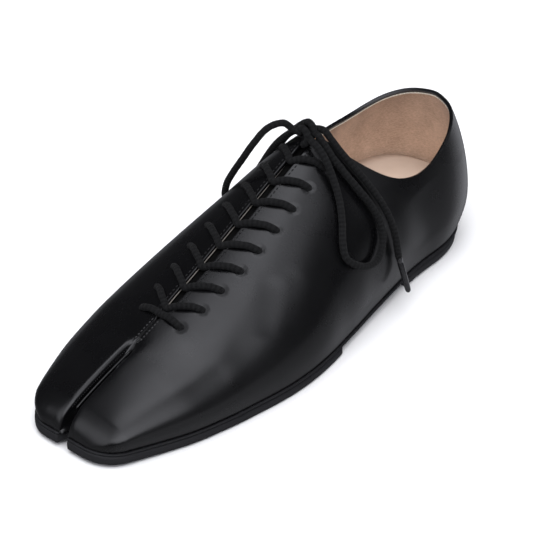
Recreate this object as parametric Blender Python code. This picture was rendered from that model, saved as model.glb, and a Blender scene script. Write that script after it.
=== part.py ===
"""Left lace-up flat with a split toe, modelled as its maker would put it together.

The shoe is laid out in millimetres on its last: along runs from the toe's front to the
heel, side is positive towards the outside of the left foot, up is the height over the
floor. Everything is written in metres with the toe towards -Y and the outside at +X.
"""

import math
from collections import namedtuple

import bmesh
import bpy
from mathutils import Vector

MM = 0.001

# Driving dimensions in millimetres
LENGTH = 252.0
MIDDLE_SIDE = 3.05
WALL = 1.8
GAP = 0.3
SOLE_LEDGE = 1.0
THIN_SOLE = 0.8
RUBBER = 4.2
RUBBER_REAR = 3.4
RUBBER_END = 130.0
TOE_SPRING = 2.0
SPRING_START = 62.0
HEEL_HEIGHT = 6.4
HEEL_FRONT = 186.0
HEEL_INSET = 0.6
HEEL_TAPER = 0.97
THIN_SOLE_INSET = 0.2
INSOLE = 3.0
INSOLE_CUP = 0.6
HEEL_CUP = 1.6
CUP_START = 4.0
CUP_END = 24.0
FOOTBED_RISE = 11.8
RISE_START = 128.0
RISE_END = 200.0
FOOTBED_FLARE = 0.8
INSOLE_FRONT = 3.0
INSOLE_SLOT_END = 21.0
INSOLE_SLOT_HALF = 6.6
WAIST_BLEND = 14.0
WAIST_STEP = 0.4

# How finely curves are cut and followed, and how far the ribs of a layer bend at its middle
CUT_SPACING = 0.6
RIB_BEND = 2.0
RIB_BEND_START = 40.0
RIB_STRAIGHT_HALF_WIDTH = 12.0
RIB_BENT_HALF_WIDTH = 26.0
SLOPE_REACH = 0.4
SLOPE_PART = 0.01
HALVINGS = 40
SETTLE_STEPS = 6

# Split toe: a notch that goes right through at the front, then a groove back to the seam
NOTCH_END = 10.0
NOTCH_HALF = 0.7
SOLE_NOTCH_HALF = 2.9
GROOVE_HALF = 1.8
GROOVE_END = 46.0
GROOVE_STEP = 3.0
GROOVE_FLOOR_LIFT = 1.3
GROOVE_FADE = 2.0
GROOVE_SETTLE = 1.0
GROOVE_RUN_OUT = 1.2
GROOVE_END_DEPTH = 3.0
LIP_ROUND = 1.8
SLIT_EDGE = 2.2
FAN_START = 190.0
FAN_END = 214.0

# Lace: one bar over the seam's end, then a bent bar for each pair of holes
LACE_RADIUS = 1.6
LACE_CLEAR = 0.45
SLIT_CLEAR = 0.4
HOLE_FIRST = 61.4
HOLE_PITCH = 11.35
BAR_SLANT = 8.0
BAR_POINTS = 9
HOLE_SIDES = (11.2, 13.2, 14.0, 14.8, 15.0, 15.0, 14.4, 13.4, 12.4)
CORD_SPACING = 8.0
AGLET_RADIUS = 1.4

# The bow: a knot wound across the slit, with a loop and an end to each side
KNOT_ALONG = 154.9
KNOT_UP = 84.3
KNOT_RADIUS = 2.9
KNOT_TURNS = 2.0
KNOT_PITCH = 3.9
KNOT_STEPS = 16
RIDGE_SLOPE = 0.42
Route = namedtuple("Route", "along side up")
LOOP_LATERAL = [
    Route(151.9, 5.1, 83.2),
    Route(151.4, 9.4, 81.8),
    Route(150.6, 14.6, 77.9),
    Route(149.4, 19.9, 71.4),
    Route(146.9, 25.8, 63.6),
    Route(142.4, 31.3, 57.1),
    Route(137.6, 35.9, 50.9),
    Route(136.1, 39.2, 45.4),
    Route(140.0, 41.6, 40.9),
    Route(147.7, 42.2, 36.7),
    Route(155.3, 41.3, 36.1),
    Route(160.8, 39.2, 40.9),
    Route(162.9, 36.1, 48.0),
    Route(161.7, 32.1, 55.9),
    Route(159.1, 27.1, 63.2),
    Route(156.9, 20.0, 70.8),
    Route(155.9, 13.6, 76.8),
    Route(155.9, 9.2, 81.0),
    Route(156.0, 5.1, 84.2),
]
END_LATERAL = [
    Route(159.9, 5.1, 85.0),
    Route(160.4, 9.0, 81.8),
    Route(161.3, 13.2, 77.4),
    Route(162.7, 18.9, 71.8),
    Route(165.2, 25.1, 64.6),
    Route(167.7, 30.6, 56.7),
    Route(169.7, 34.8, 48.6),
    Route(170.6, 37.8, 40.3),
    Route(170.8, 39.6, 32.0),
    Route(171.0, 40.2, 28.2),
]
AGLET_LATERAL = [Route(171.1, 40.3, 27.8), Route(175.5, 42.8, 8.6)]
LOOP_MEDIAL = [
    Route(151.9, -5.1, 84.8),
    Route(149.3, -8.8, 87.8),
    Route(143.8, -13.0, 86.0),
    Route(138.5, -16.6, 79.0),
    Route(135.8, -20.4, 71.0),
    Route(135.5, -25.4, 62.5),
    Route(136.4, -30.6, 53.0),
    Route(138.8, -33.6, 43.6),
    Route(145.2, -34.5, 38.0),
    Route(152.2, -33.8, 40.0),
    Route(156.9, -31.0, 49.4),
    Route(158.6, -27.0, 58.0),
    Route(158.2, -21.8, 66.4),
    Route(156.9, -15.8, 73.6),
    Route(156.0, -10.0, 79.4),
    Route(156.0, -5.1, 83.6),
]
END_MEDIAL = [
    Route(159.9, -5.1, 84.6),
    Route(160.4, -9.0, 81.2),
    Route(161.3, -13.2, 76.8),
    Route(162.7, -18.9, 70.4),
    Route(165.0, -24.2, 62.9),
    Route(167.5, -28.2, 54.7),
    Route(169.4, -31.3, 45.7),
    Route(170.4, -33.2, 37.4),
    Route(170.8, -34.4, 30.0),
]
AGLET_MEDIAL = [Route(170.8, -34.5, 29.6), Route(174.6, -37.0, 10.4)]

WELD = 0.02 * MM

# Colours as linear red, green and blue
BLACK_LEATHER = (0.012, 0.012, 0.013)
LEATHER_ROUGHNESS = 0.38
RUBBER_BLACK = (0.018, 0.018, 0.02)
RUBBER_ROUGHNESS = 0.75
INSOLE_BEIGE = (0.56, 0.42, 0.34)
INSOLE_ROUGHNESS = 0.7
LACE_BLACK = (0.012, 0.012, 0.012)
LACE_ROUGHNESS = 0.85
AGLET_BLACK = (0.01, 0.01, 0.011)
AGLET_ROUGHNESS = 0.2

# One row for each section of the last. The foot is the sole's edge and the top is the ridge
# of the last, which the slit follows to the throat and which runs on unseen behind it.
# Bulge is how far and how high the wall stands out, slope is its angle at the ridge in
# degrees, rise and crown set how full it is. The collar cuts the wall at collar_up.
Section = namedtuple(
    "Section",
    "foot_along foot_side top_along top_side top_up bulge_out bulge_up slope rise crown collar_up steps",
)
LATERAL = [
    Section(0.0, 13.5, 1.0, 0.0, 7.6, 0.0, 0.01, 0, 0.55, 0.55, 9, 1),
    Section(0.8, 17.6, 1.7, 0.0, 11.2, 0.4, 1.6, 0, 0.55, 0.55, 12, 1),
    Section(2.5, 21.6, 3.2, 0.0, 14.2, 0.9, 3.2, 0, 0.55, 0.55, 15, 1),
    Section(5.0, 25.2, 5.8, 0.0, 16.7, 1.3, 4.4, 0, 0.55, 0.55, 17, 1),
    Section(9.5, 28.0, 10.0, 0.0, 19.4, 1.6, 5.4, 0, 0.55, 0.55, 20, 1),
    Section(10.5, 28.4, 11.0, 0.0, 19.9, 1.6, 5.5, 0, 0.55, 0.55, 21, 1),
    Section(16.0, 30.6, 16.5, 0.0, 22.2, 1.7, 6.2, 0, 0.55, 0.53, 23, 1),
    Section(26.0, 34.4, 26.0, 0.0, 25.6, 1.8, 7.0, 1, 0.54, 0.51, 26, 2),
    Section(37.0, 38.4, 36.5, 0.0, 28.9, 1.8, 7.8, 2, 0.53, 0.49, 30, 3),
    Section(48.5, 41.4, 47.0, 0.0, 32.0, 1.8, 8.4, 4, 0.52, 0.47, 33, 1),
    Section(59.0, 43.5, 58.0, 0.0, 35.9, 1.8, 9.0, 6, 0.51, 0.45, 37, 1),
    Section(62.0, 44.1, 61.5, 1.5, 37.0, 1.8, 9.2, 6, 0.51, 0.45, 38, 1),
    Section(73.0, 45.6, 73.0, 2.0, 41.6, 1.8, 9.8, 8, 0.50, 0.44, 43, 2),
    Section(88.0, 47.6, 88.0, 2.0, 48.1, 1.8, 10.6, 9, 0.50, 0.43, 50, 2),
    Section(104.0, 47.9, 104.0, 2.0, 55.6, 1.8, 11.4, 11, 0.50, 0.42, 58, 2),
    Section(118.0, 46.4, 118.0, 2.0, 62.2, 2.0, 12.0, 13, 0.49, 0.42, 65, 2),
    Section(131.0, 43.8, 131.5, 2.0, 68.7, 2.2, 12.6, 16, 0.47, 0.41, 71, 2),
    Section(144.0, 41.4, 145.0, 2.0, 75.0, 2.5, 13.6, 21, 0.45, 0.41, 77, 2),
    Section(154.0, 39.4, 155.0, 2.0, 79.4, 2.6, 14.6, 27, 0.43, 0.40, 81, 1),
    Section(160.0, 38.4, 160.2, 2.0, 81.4, 2.6, 15.1, 32, 0.42, 0.40, 81.4, 1),
    Section(163.0, 37.9, 163.0, 2.0, 82.3, 2.6, 15.4, 35, 0.41, 0.40, 76.8, 1),
    Section(168.0, 37.0, 168.0, 2.1, 84.0, 2.6, 15.8, 41, 0.40, 0.40, 70.4, 1),
    Section(176.0, 35.7, 176.0, 2.6, 87.5, 2.6, 15.2, 51, 0.37, 0.40, 63.2, 2),
    Section(184.0, 34.4, 184.0, 3.5, 91.5, 2.6, 15.3, 59, 0.33, 0.40, 57.4, 2),
    Section(192.5, 33.3, 192.0, 5.0, 95.0, 2.6, 15.0, 64, 0.30, 0.40, 53.7, 2),
    Section(201.5, 32.5, 200.0, 6.8, 97.5, 2.6, 14.6, 67, 0.30, 0.40, 52.2, 2),
    Section(210.5, 32.2, 206.5, 8.0, 99.0, 2.8, 14.4, 70, 0.30, 0.40, 53.2, 2),
    Section(219.5, 31.0, 212.0, 8.2, 100.0, 3.2, 14.4, 72, 0.31, 0.40, 55.6, 2),
    Section(228.5, 27.9, 217.0, 7.8, 101.0, 3.9, 14.4, 74, 0.37, 0.39, 58.4, 2),
    Section(237.0, 22.0, 221.5, 6.2, 102.0, 5.1, 14.4, 76, 0.47, 0.37, 61.2, 2),
    Section(243.3, 12.6, 226.5, 3.4, 103.0, 6.4, 14.4, 78, 0.57, 0.36, 63.3, 2),
    Section(245.8, 0.0, 229.0, 0.0, 104.0, 7.2, 14.4, 80, 0.62, 0.36, 64.2, 1),
]
MEDIAL = [
    Section(0.0, 12.0, 1.0, 0.0, 7.6, 0.0, 0.01, 0, 0.55, 0.55, 9, 1),
    Section(0.8, 15.2, 1.7, 0.0, 11.2, 0.4, 1.6, 0, 0.55, 0.55, 12, 1),
    Section(2.5, 18.4, 3.2, 0.0, 14.2, 0.9, 3.2, 0, 0.55, 0.55, 15, 1),
    Section(5.2, 21.6, 5.8, 0.0, 16.7, 1.3, 4.4, 0, 0.55, 0.55, 17, 1),
    Section(9.5, 24.4, 10.0, 0.0, 19.4, 1.6, 5.4, 0, 0.55, 0.55, 20, 1),
    Section(10.5, 24.9, 11.0, 0.0, 19.9, 1.6, 5.5, 0, 0.55, 0.55, 21, 1),
    Section(16.0, 27.3, 16.5, 0.0, 22.2, 1.7, 6.2, 0, 0.55, 0.53, 23, 1),
    Section(26.0, 31.0, 26.0, 0.0, 25.6, 1.8, 7.0, 1, 0.54, 0.51, 26, 2),
    Section(37.0, 34.8, 36.5, 0.0, 28.9, 1.8, 7.8, 2, 0.53, 0.49, 30, 3),
    Section(48.5, 37.9, 47.0, 0.0, 32.0, 1.8, 8.4, 4, 0.52, 0.47, 33, 1),
    Section(58.5, 40.0, 58.0, 0.0, 35.9, 1.8, 9.0, 6, 0.51, 0.45, 37, 1),
    Section(62.0, 40.5, 61.5, 1.5, 37.0, 1.8, 9.2, 6, 0.51, 0.45, 38, 1),
    Section(72.5, 41.6, 73.0, 2.0, 41.6, 1.8, 9.8, 8, 0.50, 0.44, 43, 2),
    Section(86.5, 41.7, 88.0, 2.0, 48.1, 1.9, 10.8, 9, 0.50, 0.43, 50, 2),
    Section(101.0, 39.9, 104.0, 2.0, 55.6, 2.4, 12.4, 11, 0.50, 0.42, 58, 2),
    Section(114.0, 36.9, 118.0, 2.0, 62.2, 3.0, 14.2, 13, 0.49, 0.42, 65, 2),
    Section(127.0, 33.4, 131.5, 2.0, 68.7, 3.8, 15.8, 16, 0.47, 0.41, 71, 2),
    Section(141.0, 30.4, 145.0, 2.0, 75.0, 4.4, 17.3, 21, 0.45, 0.41, 77, 2),
    Section(152.0, 28.9, 155.0, 2.0, 79.4, 4.6, 18.4, 27, 0.43, 0.40, 81, 1),
    Section(158.5, 28.4, 160.2, 2.0, 81.4, 4.6, 19.0, 32, 0.42, 0.40, 81.4, 1),
    Section(162.0, 28.3, 163.0, 2.0, 82.3, 4.6, 19.1, 35, 0.41, 0.40, 77.8, 1),
    Section(168.0, 28.3, 168.0, 2.1, 84.0, 4.5, 19.2, 41, 0.40, 0.40, 72.6, 1),
    Section(176.0, 28.6, 176.0, 2.6, 87.5, 4.2, 18.0, 51, 0.37, 0.40, 66.4, 2),
    Section(184.0, 29.2, 184.0, 3.5, 91.5, 3.8, 17.3, 59, 0.33, 0.40, 61.6, 2),
    Section(192.5, 30.0, 192.0, 5.0, 95.0, 3.4, 16.4, 64, 0.30, 0.40, 58.7, 2),
    Section(201.5, 30.7, 200.0, 6.8, 97.5, 3.0, 15.4, 67, 0.30, 0.40, 57.2, 2),
    Section(210.5, 31.0, 206.5, 8.0, 99.0, 3.0, 14.8, 70, 0.30, 0.40, 56.4, 2),
    Section(219.5, 30.1, 212.0, 8.2, 100.0, 3.2, 14.4, 72, 0.31, 0.40, 57.1, 2),
    Section(228.5, 27.3, 217.0, 7.8, 101.0, 3.9, 14.4, 74, 0.37, 0.39, 58.9, 2),
    Section(237.0, 21.8, 221.5, 6.2, 102.0, 5.1, 14.4, 76, 0.47, 0.37, 61.2, 2),
    Section(243.3, 12.6, 226.5, 3.4, 103.0, 6.4, 14.4, 78, 0.57, 0.36, 63.2, 2),
    Section(245.8, 0.0, 229.0, 0.0, 104.0, 7.2, 14.4, 80, 0.62, 0.36, 64.2, 1),
]

# Rows up the wall: two below the bulge, the rest as parts of the way from bulge to top
LOWER_ROWS = (0.0, 0.5, 1.0)
UPPER_ROWS = (0.16, 0.32, 0.48, 0.63, 0.76)
# The rows next to the centre line are also the groove's lip, walls and floor: their place
# off the groove's wall, and their share of the lip's rounding and of the depth below it
GrooveRow = namedtuple("GrooveRow", "part off_wall lip depth")
GROOVE_ROWS = [
    GrooveRow(0.85, 2.8, 0.0, 0.0),
    GrooveRow(0.90, 1.4, 0.15, 0.0),
    GrooveRow(0.94, 0.4, 0.5, 0.0),
    GrooveRow(0.97, 0.0, 1.0, 0.0),
    GrooveRow(0.99, -0.1, 1.0, 0.75),
    GrooveRow(1.00, -GROOVE_HALF, 1.0, 1.0),
]

# The heel's underside, arch and forefoot: height of the thin sole's lower face
Profile = namedtuple("Profile", "along up")
ARCH = [
    Profile(RUBBER_END - WAIST_BLEND, RUBBER + GAP),
    Profile(RUBBER_END, RUBBER_REAR + GAP + WAIST_STEP),
    Profile(148.0, 4.7),
    Profile(168.0, 5.8),
    Profile(HEEL_FRONT, HEEL_HEIGHT + GAP),
]


def curve_value(knots, values, at):
    """Smooth curve through values at the given knots, with the slope of each knot's neighbours."""
    last = len(knots) - 1
    if at <= knots[0]:
        return values[0]
    if at >= knots[last]:
        return values[last]
    here = max(i for i in range(last) if knots[i] <= at)
    slopes = []
    for i in (here, here + 1):
        before = max(i - 1, 0)
        after = min(i + 1, last)
        slopes.append((values[after] - values[before]) / (knots[after] - knots[before]))
    span = knots[here + 1] - knots[here]
    t = (at - knots[here]) / span
    return (
        (2 * t**3 - 3 * t**2 + 1) * values[here]
        + (t**3 - 2 * t**2 + t) * span * slopes[0]
        + (3 * t**2 - 2 * t**3) * values[here + 1]
        + (t**3 - t**2) * span * slopes[1]
    )


def ease(low, high, at):
    """0 below low, 1 above high, smooth between them."""
    t = min(max((at - low) / (high - low), 0.0), 1.0)
    return t * t * (3 - 2 * t)


def thin_sole_under(along):
    """Height of the thin sole's lower face."""
    if along < ARCH[0].along:
        lift = max(SPRING_START - along, 0.0) / SPRING_START
        return RUBBER + GAP + TOE_SPRING * lift**2
    return curve_value([p.along for p in ARCH], [p.up for p in ARCH], along)


def feather_up(along):
    """Height of the upper's lower edge."""
    return thin_sole_under(along) + THIN_SOLE + GAP


def section_knots(sections):
    """Distance round the last at each section, halfway between its foot and its top."""
    knots = [0.0]
    for one, two in zip(sections, sections[1:]):
        foot = math.hypot(two.foot_along - one.foot_along, two.foot_side - one.foot_side)
        top = math.hypot(two.top_along - one.top_along, two.top_side - one.top_side)
        knots.append(knots[-1] + 0.5 * (foot + top))
    return knots


def section_at(sections, knots, at):
    """The section at a distance round the last, each column on its own smooth curve."""
    columns = zip(*sections)
    return Section(*(curve_value(knots, column, at) for column in columns))


def stations(sections, knots):
    """Distances round the last where the mesh has a rib: each row, and its steps to the next."""
    places = []
    for row, start, stop in zip(sections, knots, knots[1:]):
        places += [start + (stop - start) * step / row.steps for step in range(row.steps)]
    return places + [knots[-1]]


class Half:
    """The outer or inner half of the last, as a smooth run of sections from toe to heel."""

    def __init__(self, sections, sign):
        self.sections = sections
        self.sign = sign
        self.knots = section_knots(sections)
        self.places = stations(sections, self.knots)

    def section(self, at):
        """The section at a distance round the last."""
        return section_at(self.sections, self.knots, at)

    def inward(self, at):
        """Direction along and side from the sole's edge into the shoe."""
        low = self.section(max(at - SLOPE_REACH, 0.0))
        high = self.section(min(at + SLOPE_REACH, self.knots[-1]))
        along = high.foot_along - low.foot_along
        side = high.foot_side - low.foot_side
        if at >= self.knots[-1]:
            return -1.0, 0.0
        size = math.hypot(along, side)
        return side / size, -along / size

    def edge(self, at, inset):
        """A point of the sole's outline, moved into the shoe."""
        section = self.section(at)
        to_along, to_side = self.inward(at)
        return section.foot_along + inset * to_along, section.foot_side + inset * to_side

    def place_at(self, along):
        """The distance round the last where the sole's edge is this far along."""
        if along >= self.sections[-1].foot_along:
            return self.knots[-1]
        low, high = 0.0, self.knots[-1]
        for _ in range(HALVINGS):
            middle = 0.5 * (low + high)
            if self.section(middle).foot_along < along:
                low = middle
            else:
                high = middle
        return low

    def frame(self, at):
        """Foot point, direction across the shoe and the way from the foot to the ridge."""
        section = self.section(at)
        foot = self.edge(at, SOLE_LEDGE)
        turn = ease(FAN_START, FAN_END, section.foot_along)
        to_along, to_side = self.inward(at)
        across = Vector((turn * to_along, turn * to_side - (1.0 - turn))).normalized()
        way = Vector((section.top_along - foot[0], section.top_side - foot[1]))
        return section, Vector(foot), across, way

    def profile(self, at):
        """The wall from bulge to ridge as two lists of curve points: across the shoe and up."""
        section, foot, across, way = self.frame(at)
        reach = way.dot(across)
        foot_up = feather_up(foot.x)
        bulge_up = foot_up + min(section.bulge_up, max(section.top_up - foot_up, 0.0))
        slope = math.radians(section.slope)
        handle = section.crown * math.hypot(reach + section.bulge_out, section.top_up - bulge_up)
        outs = (
            -section.bulge_out,
            -section.bulge_out,
            reach - handle * math.cos(slope),
            reach,
        )
        ups = (
            bulge_up,
            bulge_up + section.rise * (section.top_up - bulge_up),
            section.top_up - handle * math.sin(slope),
            section.top_up,
        )
        return outs, ups

    def collar_part(self, at):
        """The part of the way from bulge to ridge where the collar cuts the wall."""
        section = self.section(at)
        ups = self.profile(at)[1]
        if section.collar_up >= section.top_up:
            return 1.0
        low, high = 0.0, 1.0
        for _ in range(HALVINGS):
            middle = 0.5 * (low + high)
            if bezier(ups, middle) < section.collar_up:
                low = middle
            else:
                high = middle
        return low

    def low_wall(self, at, part):
        """A point of the upper's outside between its foot and its bulge."""
        section, foot, across, _ = self.frame(at)
        foot_up = feather_up(foot.x)
        bulge_up = self.profile(at)[1][0]
        place = foot - across * section.bulge_out * math.sin(0.5 * math.pi * part)
        return place.x, place.y, foot_up + (bulge_up - foot_up) * part

    def wall(self, at, part):
        """A point of the upper's outside between its bulge and the ridge of the last."""
        _, foot, across, way = self.frame(at)
        outs, ups = self.profile(at)
        drift = way - across * way.dot(across)
        place = foot + across * bezier(outs, part) + drift * part
        return place.x, place.y, bezier(ups, part)

    def part_at_side(self, at, side):
        """The part of the way from bulge to ridge where the wall is this far from the centre line."""
        low, high = 0.0, 1.0
        for _ in range(HALVINGS):
            middle = 0.5 * (low + high)
            if self.wall(at, middle)[1] > side:
                low = middle
            else:
                high = middle
        return low

    def rib(self, at):
        """All the points of one rib of the upper, from its foot to the centre line or collar."""
        section = self.section(at)
        top = self.collar_part(at)
        grooved = 1.0 - ease(GROOVE_END - GROOVE_FADE, GROOVE_END + GROOVE_SETTLE, section.top_along)
        points = [self.low_wall(at, row) for row in LOWER_ROWS]
        points += [self.wall(at, row * top) for row in UPPER_ROWS]
        for row in GROOVE_ROWS:
            smooth = self.wall(at, row.part * top)
            if grooved > 0.0:
                carved = groove_point(section, row)
                smooth = tuple(s + (c - s) * grooved for s, c in zip(smooth, carved))
            points.append(smooth)
        return points


def bezier(values, t):
    """Cubic curve with two handles."""
    rest = 1.0 - t
    return (
        rest**3 * values[0]
        + 3 * rest**2 * t * values[1]
        + 3 * rest * t**2 * values[2]
        + t**3 * values[3]
    )


def notch_half(along):
    """Half the width of the gap at the front of the split toe."""
    return NOTCH_HALF * max(NOTCH_END - along, 0.0) / (NOTCH_END - SOLE_LEDGE)


def groove_floor(along, ridge_up):
    """Height of the split toe's floor: on the sole at the front, rising along the groove."""
    if along <= NOTCH_END:
        return feather_up(along) + GROOVE_FLOOR_LIFT * ease(0.5 * NOTCH_END, NOTCH_END, along)
    step = GROOVE_STEP * ease(NOTCH_END, NOTCH_END + GROOVE_SETTLE, along)
    start = feather_up(NOTCH_END) + GROOVE_FLOOR_LIFT + step
    run = min((along - NOTCH_END) / (GROOVE_END - NOTCH_END), 1.0)
    return min(start + (ridge_up - start) * run**GROOVE_RUN_OUT, ridge_up - GROOVE_END_DEPTH)


def groove_point(section, row):
    """A point of the split toe's lip, wall or floor."""
    along = section.top_along
    depth = max(section.top_up - groove_floor(along, section.top_up), 0.0)
    lip = min(LIP_ROUND, 0.5 * depth)
    side = GROOVE_HALF + notch_half(along) + row.off_wall
    return along, side, section.top_up - lip * row.lip - (depth - lip) * row.depth


OUTER = Half(LATERAL, 1.0)
INNER = Half(MEDIAL, -1.0)
HALVES = (OUTER, INNER)


def to_world(half, along, side, up):
    """Metres, with the toe towards -Y and the middle of the whole shoe at the origin."""
    return Vector((half.sign * side - MIDDLE_SIDE, along - 0.5 * LENGTH, up)) * MM


def add_sheet(bm, half, columns, rows, place):
    """A grid of faces with each vertex where place(column, row) says."""
    grid = bmesh.ops.create_grid(bm, x_segments=columns - 1, y_segments=rows - 1, size=1.0)
    for vert in grid["verts"]:
        column = round(0.5 * (vert.co.x + 1.0) * (columns - 1))
        row = round(0.5 * (vert.co.y + 1.0) * (rows - 1))
        vert.co = to_world(half, *place(column, row))
    return grid["verts"]


def add_object(name, bm, colour, roughness):
    """A named object with its own material from a mesh that is then freed."""
    mesh = bpy.data.meshes.new(name)
    bm.to_mesh(mesh)
    bm.free()
    mesh.materials.append(material(name, colour, roughness))
    made = bpy.data.objects.new(name, mesh)
    bpy.context.scene.collection.objects.link(made)
    return made


def material(name, colour, roughness):
    """A Principled material of one colour."""
    made = bpy.data.materials.new(name)
    made.use_nodes = True
    shader = made.node_tree.nodes["Principled BSDF"]
    shader.inputs["Base Color"].default_value = (*colour, 1.0)
    shader.inputs["Roughness"].default_value = roughness
    shader.inputs["Metallic"].default_value = 0.0
    return made


def build_upper():
    """The lasted shell: one outside sheet for each half, joined and given the wall's thickness."""
    bm = bmesh.new()
    for half in HALVES:
        ribs = [half.rib(at) for at in half.places]
        add_sheet(bm, half, len(ribs), len(ribs[0]), lambda i, j: ribs[i][j])
    bmesh.ops.remove_doubles(bm, verts=bm.verts, dist=WELD)
    bmesh.ops.recalc_face_normals(bm, faces=bm.faces)
    highest = max(bm.faces, key=lambda face: face.calc_center_median().z)
    if highest.normal.z < 0.0:
        bmesh.ops.reverse_faces(bm, faces=bm.faces)
    sheet = add_object("upper", bm, BLACK_LEATHER, LEATHER_ROUGHNESS)
    shell = sheet.modifiers.new("wall", "SOLIDIFY")
    shell.thickness = WALL * MM
    shell.offset = -1.0
    shell.use_even_offset = False
    shell.use_quality_normals = True
    rest_on_sole(sheet)


def rest_on_sole(sheet):
    """Keep the shell's modifier as mesh and bring its lower edge level with the sole."""
    bm = bmesh.new()
    bm.from_object(sheet, bpy.context.evaluated_depsgraph_get())
    sheet.modifiers.clear()
    for vert in bm.verts:
        vert.co.z = max(vert.co.z, feather_up(vert.co.y / MM + 0.5 * LENGTH) * MM)
    bm.to_mesh(sheet.data)
    bm.free()


def no_notch(along):
    """A layer without a gap at the toe."""
    return 0.0


def sole_notch(along):
    """Half the width of the gap at the front of the sole, which closes to the notch's end."""
    return SOLE_NOTCH_HALF * max(1.0 - along / (NOTCH_END - SOLE_LEDGE), 0.0)


def insole_slot(along):
    """The slot that keeps the insole clear of the split toe's walls."""
    return INSOLE_SLOT_HALF * math.sqrt(max(1.0 - (along / INSOLE_SLOT_END) ** 4, 0.0))


def no_flare(half, at):
    """A layer with upright sides."""
    return 0.0


def slab(start, end, inset, under, over, notch, flare=no_flare):
    """A closed layer between two heights, its outline set in from the sole's edge."""
    bm = bmesh.new()
    cuts = []
    outline = {}
    for half in HALVES:
        first = half.place_at(start)
        last = half.place_at(end)
        inside = [at for at in half.places if first + CUT_SPACING < at < last - CUT_SPACING]
        cuts.append([first] + inside + [last])
    count = min(len(row) for row in cuts)
    rows = [row[: count - 1] + row[-1:] for row in cuts]

    def place(index, column, row):
        edges = [half.edge(ats[column], inset) for half, ats in zip(HALVES, rows)]
        along, side = edges[index]
        if row == 1:
            along = 0.5 * (edges[0][0] + edges[1][0])
            half_width = 0.5 * (edges[0][1] + edges[1][1])
            bend = RIB_BEND * ease(RIB_STRAIGHT_HALF_WIDTH, RIB_BENT_HALF_WIDTH, half_width)
            along += bend * ease(start, start + RIB_BEND_START, along)
            side = min(notch(along), side)
        else:
            outline[spot(to_world(HALVES[index], along, side, 0.0))] = HALVES[index], rows[index][column]
        return along, side, under(along)

    for index, half in enumerate(HALVES):
        add_sheet(bm, half, count, 2, lambda i, j: place(index, i, j))
    bmesh.ops.remove_doubles(bm, verts=bm.verts, dist=WELD)
    raised = bmesh.ops.extrude_face_region(bm, geom=bm.faces[:])
    for vert in raised["geom"]:
        if isinstance(vert, bmesh.types.BMVert):
            if spot(vert.co) in outline:
                half, at = outline[spot(vert.co)]
                vert.co = to_world(half, *half.edge(at, inset - flare(half, at)), 0.0)
            along = vert.co.y / MM + 0.5 * LENGTH
            side = vert.co.x / MM + MIDDLE_SIDE
            vert.co.z = over(along, side) * MM
    bmesh.ops.recalc_face_normals(bm, faces=bm.faces)
    return bm


def spot(place):
    """Where a point is seen from above, to the nearest hundredth of a millimetre."""
    return round(place.x / MM, 2), round(place.y / MM, 2)


def build_soles():
    """The thin full-length sole, the forefoot rubber and the heel block."""
    thin = slab(
        0.0,
        LENGTH,
        THIN_SOLE_INSET,
        thin_sole_under,
        lambda along, side: thin_sole_under(along) + THIN_SOLE,
        sole_notch,
    )
    add_object("sole", thin, RUBBER_BLACK, RUBBER_ROUGHNESS)
    rubber = slab(
        0.0,
        RUBBER_END,
        0.0,
        tread_up,
        lambda along, side: thin_sole_under(along) - GAP,
        sole_notch,
    )
    add_object("forefoot_sole", rubber, RUBBER_BLACK, RUBBER_ROUGHNESS)
    heel = slab(
        HEEL_FRONT,
        LENGTH,
        HEEL_INSET,
        lambda along: 0.0,
        lambda along, side: thin_sole_under(along) - GAP,
        no_notch,
    )
    floor_verts = [vert for vert in heel.verts if vert.co.z < 0.5 * HEEL_HEIGHT * MM]
    middle = sum((vert.co for vert in floor_verts), Vector()) / len(floor_verts)
    for vert in floor_verts:
        vert.co.x = middle.x + HEEL_TAPER * (vert.co.x - middle.x)
        vert.co.y = middle.y + HEEL_TAPER * (vert.co.y - middle.y)
    add_object("heel", heel, RUBBER_BLACK, RUBBER_ROUGHNESS)


def tread_up(along):
    """Height of the forefoot rubber's lower face: flat on the floor, rising to the toe."""
    return TOE_SPRING * (max(SPRING_START - along, 0.0) / SPRING_START) ** 2


def risen(along):
    """How much of the footbed's rise to the heel is reached, from 0 to 1."""
    return ease(RISE_START, RISE_END, along)


def insole_over(along, side):
    """Height of the footbed's upper face, raised at the heel and cupped towards its edge."""
    cup = (INSOLE_CUP + HEEL_CUP * risen(along)) * ease(CUP_START, CUP_END, abs(side))
    return feather_up(along) + INSOLE + FOOTBED_RISE * risen(along) + cup


def insole_flare(half, at):
    """How far the raised footbed's upper edge stands out to follow the upper's bulge."""
    section = half.section(at)
    return FOOTBED_FLARE * section.bulge_out * risen(section.foot_along)


def build_insole():
    """The footbed inside the upper."""
    footbed = slab(
        INSOLE_FRONT,
        LENGTH,
        SOLE_LEDGE + WALL + GAP,
        feather_up,
        insole_over,
        insole_slot,
        insole_flare,
    )
    add_object("insole", footbed, INSOLE_BEIGE, INSOLE_ROUGHNESS)


def over_upper(along, side, lift):
    """A point this far over the upper's outside."""
    half = OUTER if side >= 0.0 else INNER
    off = max(abs(side), SLIT_EDGE)
    at = half.place_at(along)
    for _ in range(SETTLE_STEPS):
        part = half.part_at_side(at, off)
        at += along - half.wall(at, part)[0]
    here = to_world(half, *half.wall(at, part))
    ahead = to_world(half, *half.wall(at + SLOPE_REACH, part))
    higher = to_world(half, *half.wall(at, part + SLOPE_PART))
    normal = (ahead - here).cross(higher - here).normalized()
    if normal.z < 0.0:
        normal.negate()
    place = here + normal * lift * MM
    if abs(side) < SLIT_EDGE:
        place.x = -MIDDLE_SIDE * MM
        place.z += SLIT_CLEAR * MM
    return place


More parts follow.
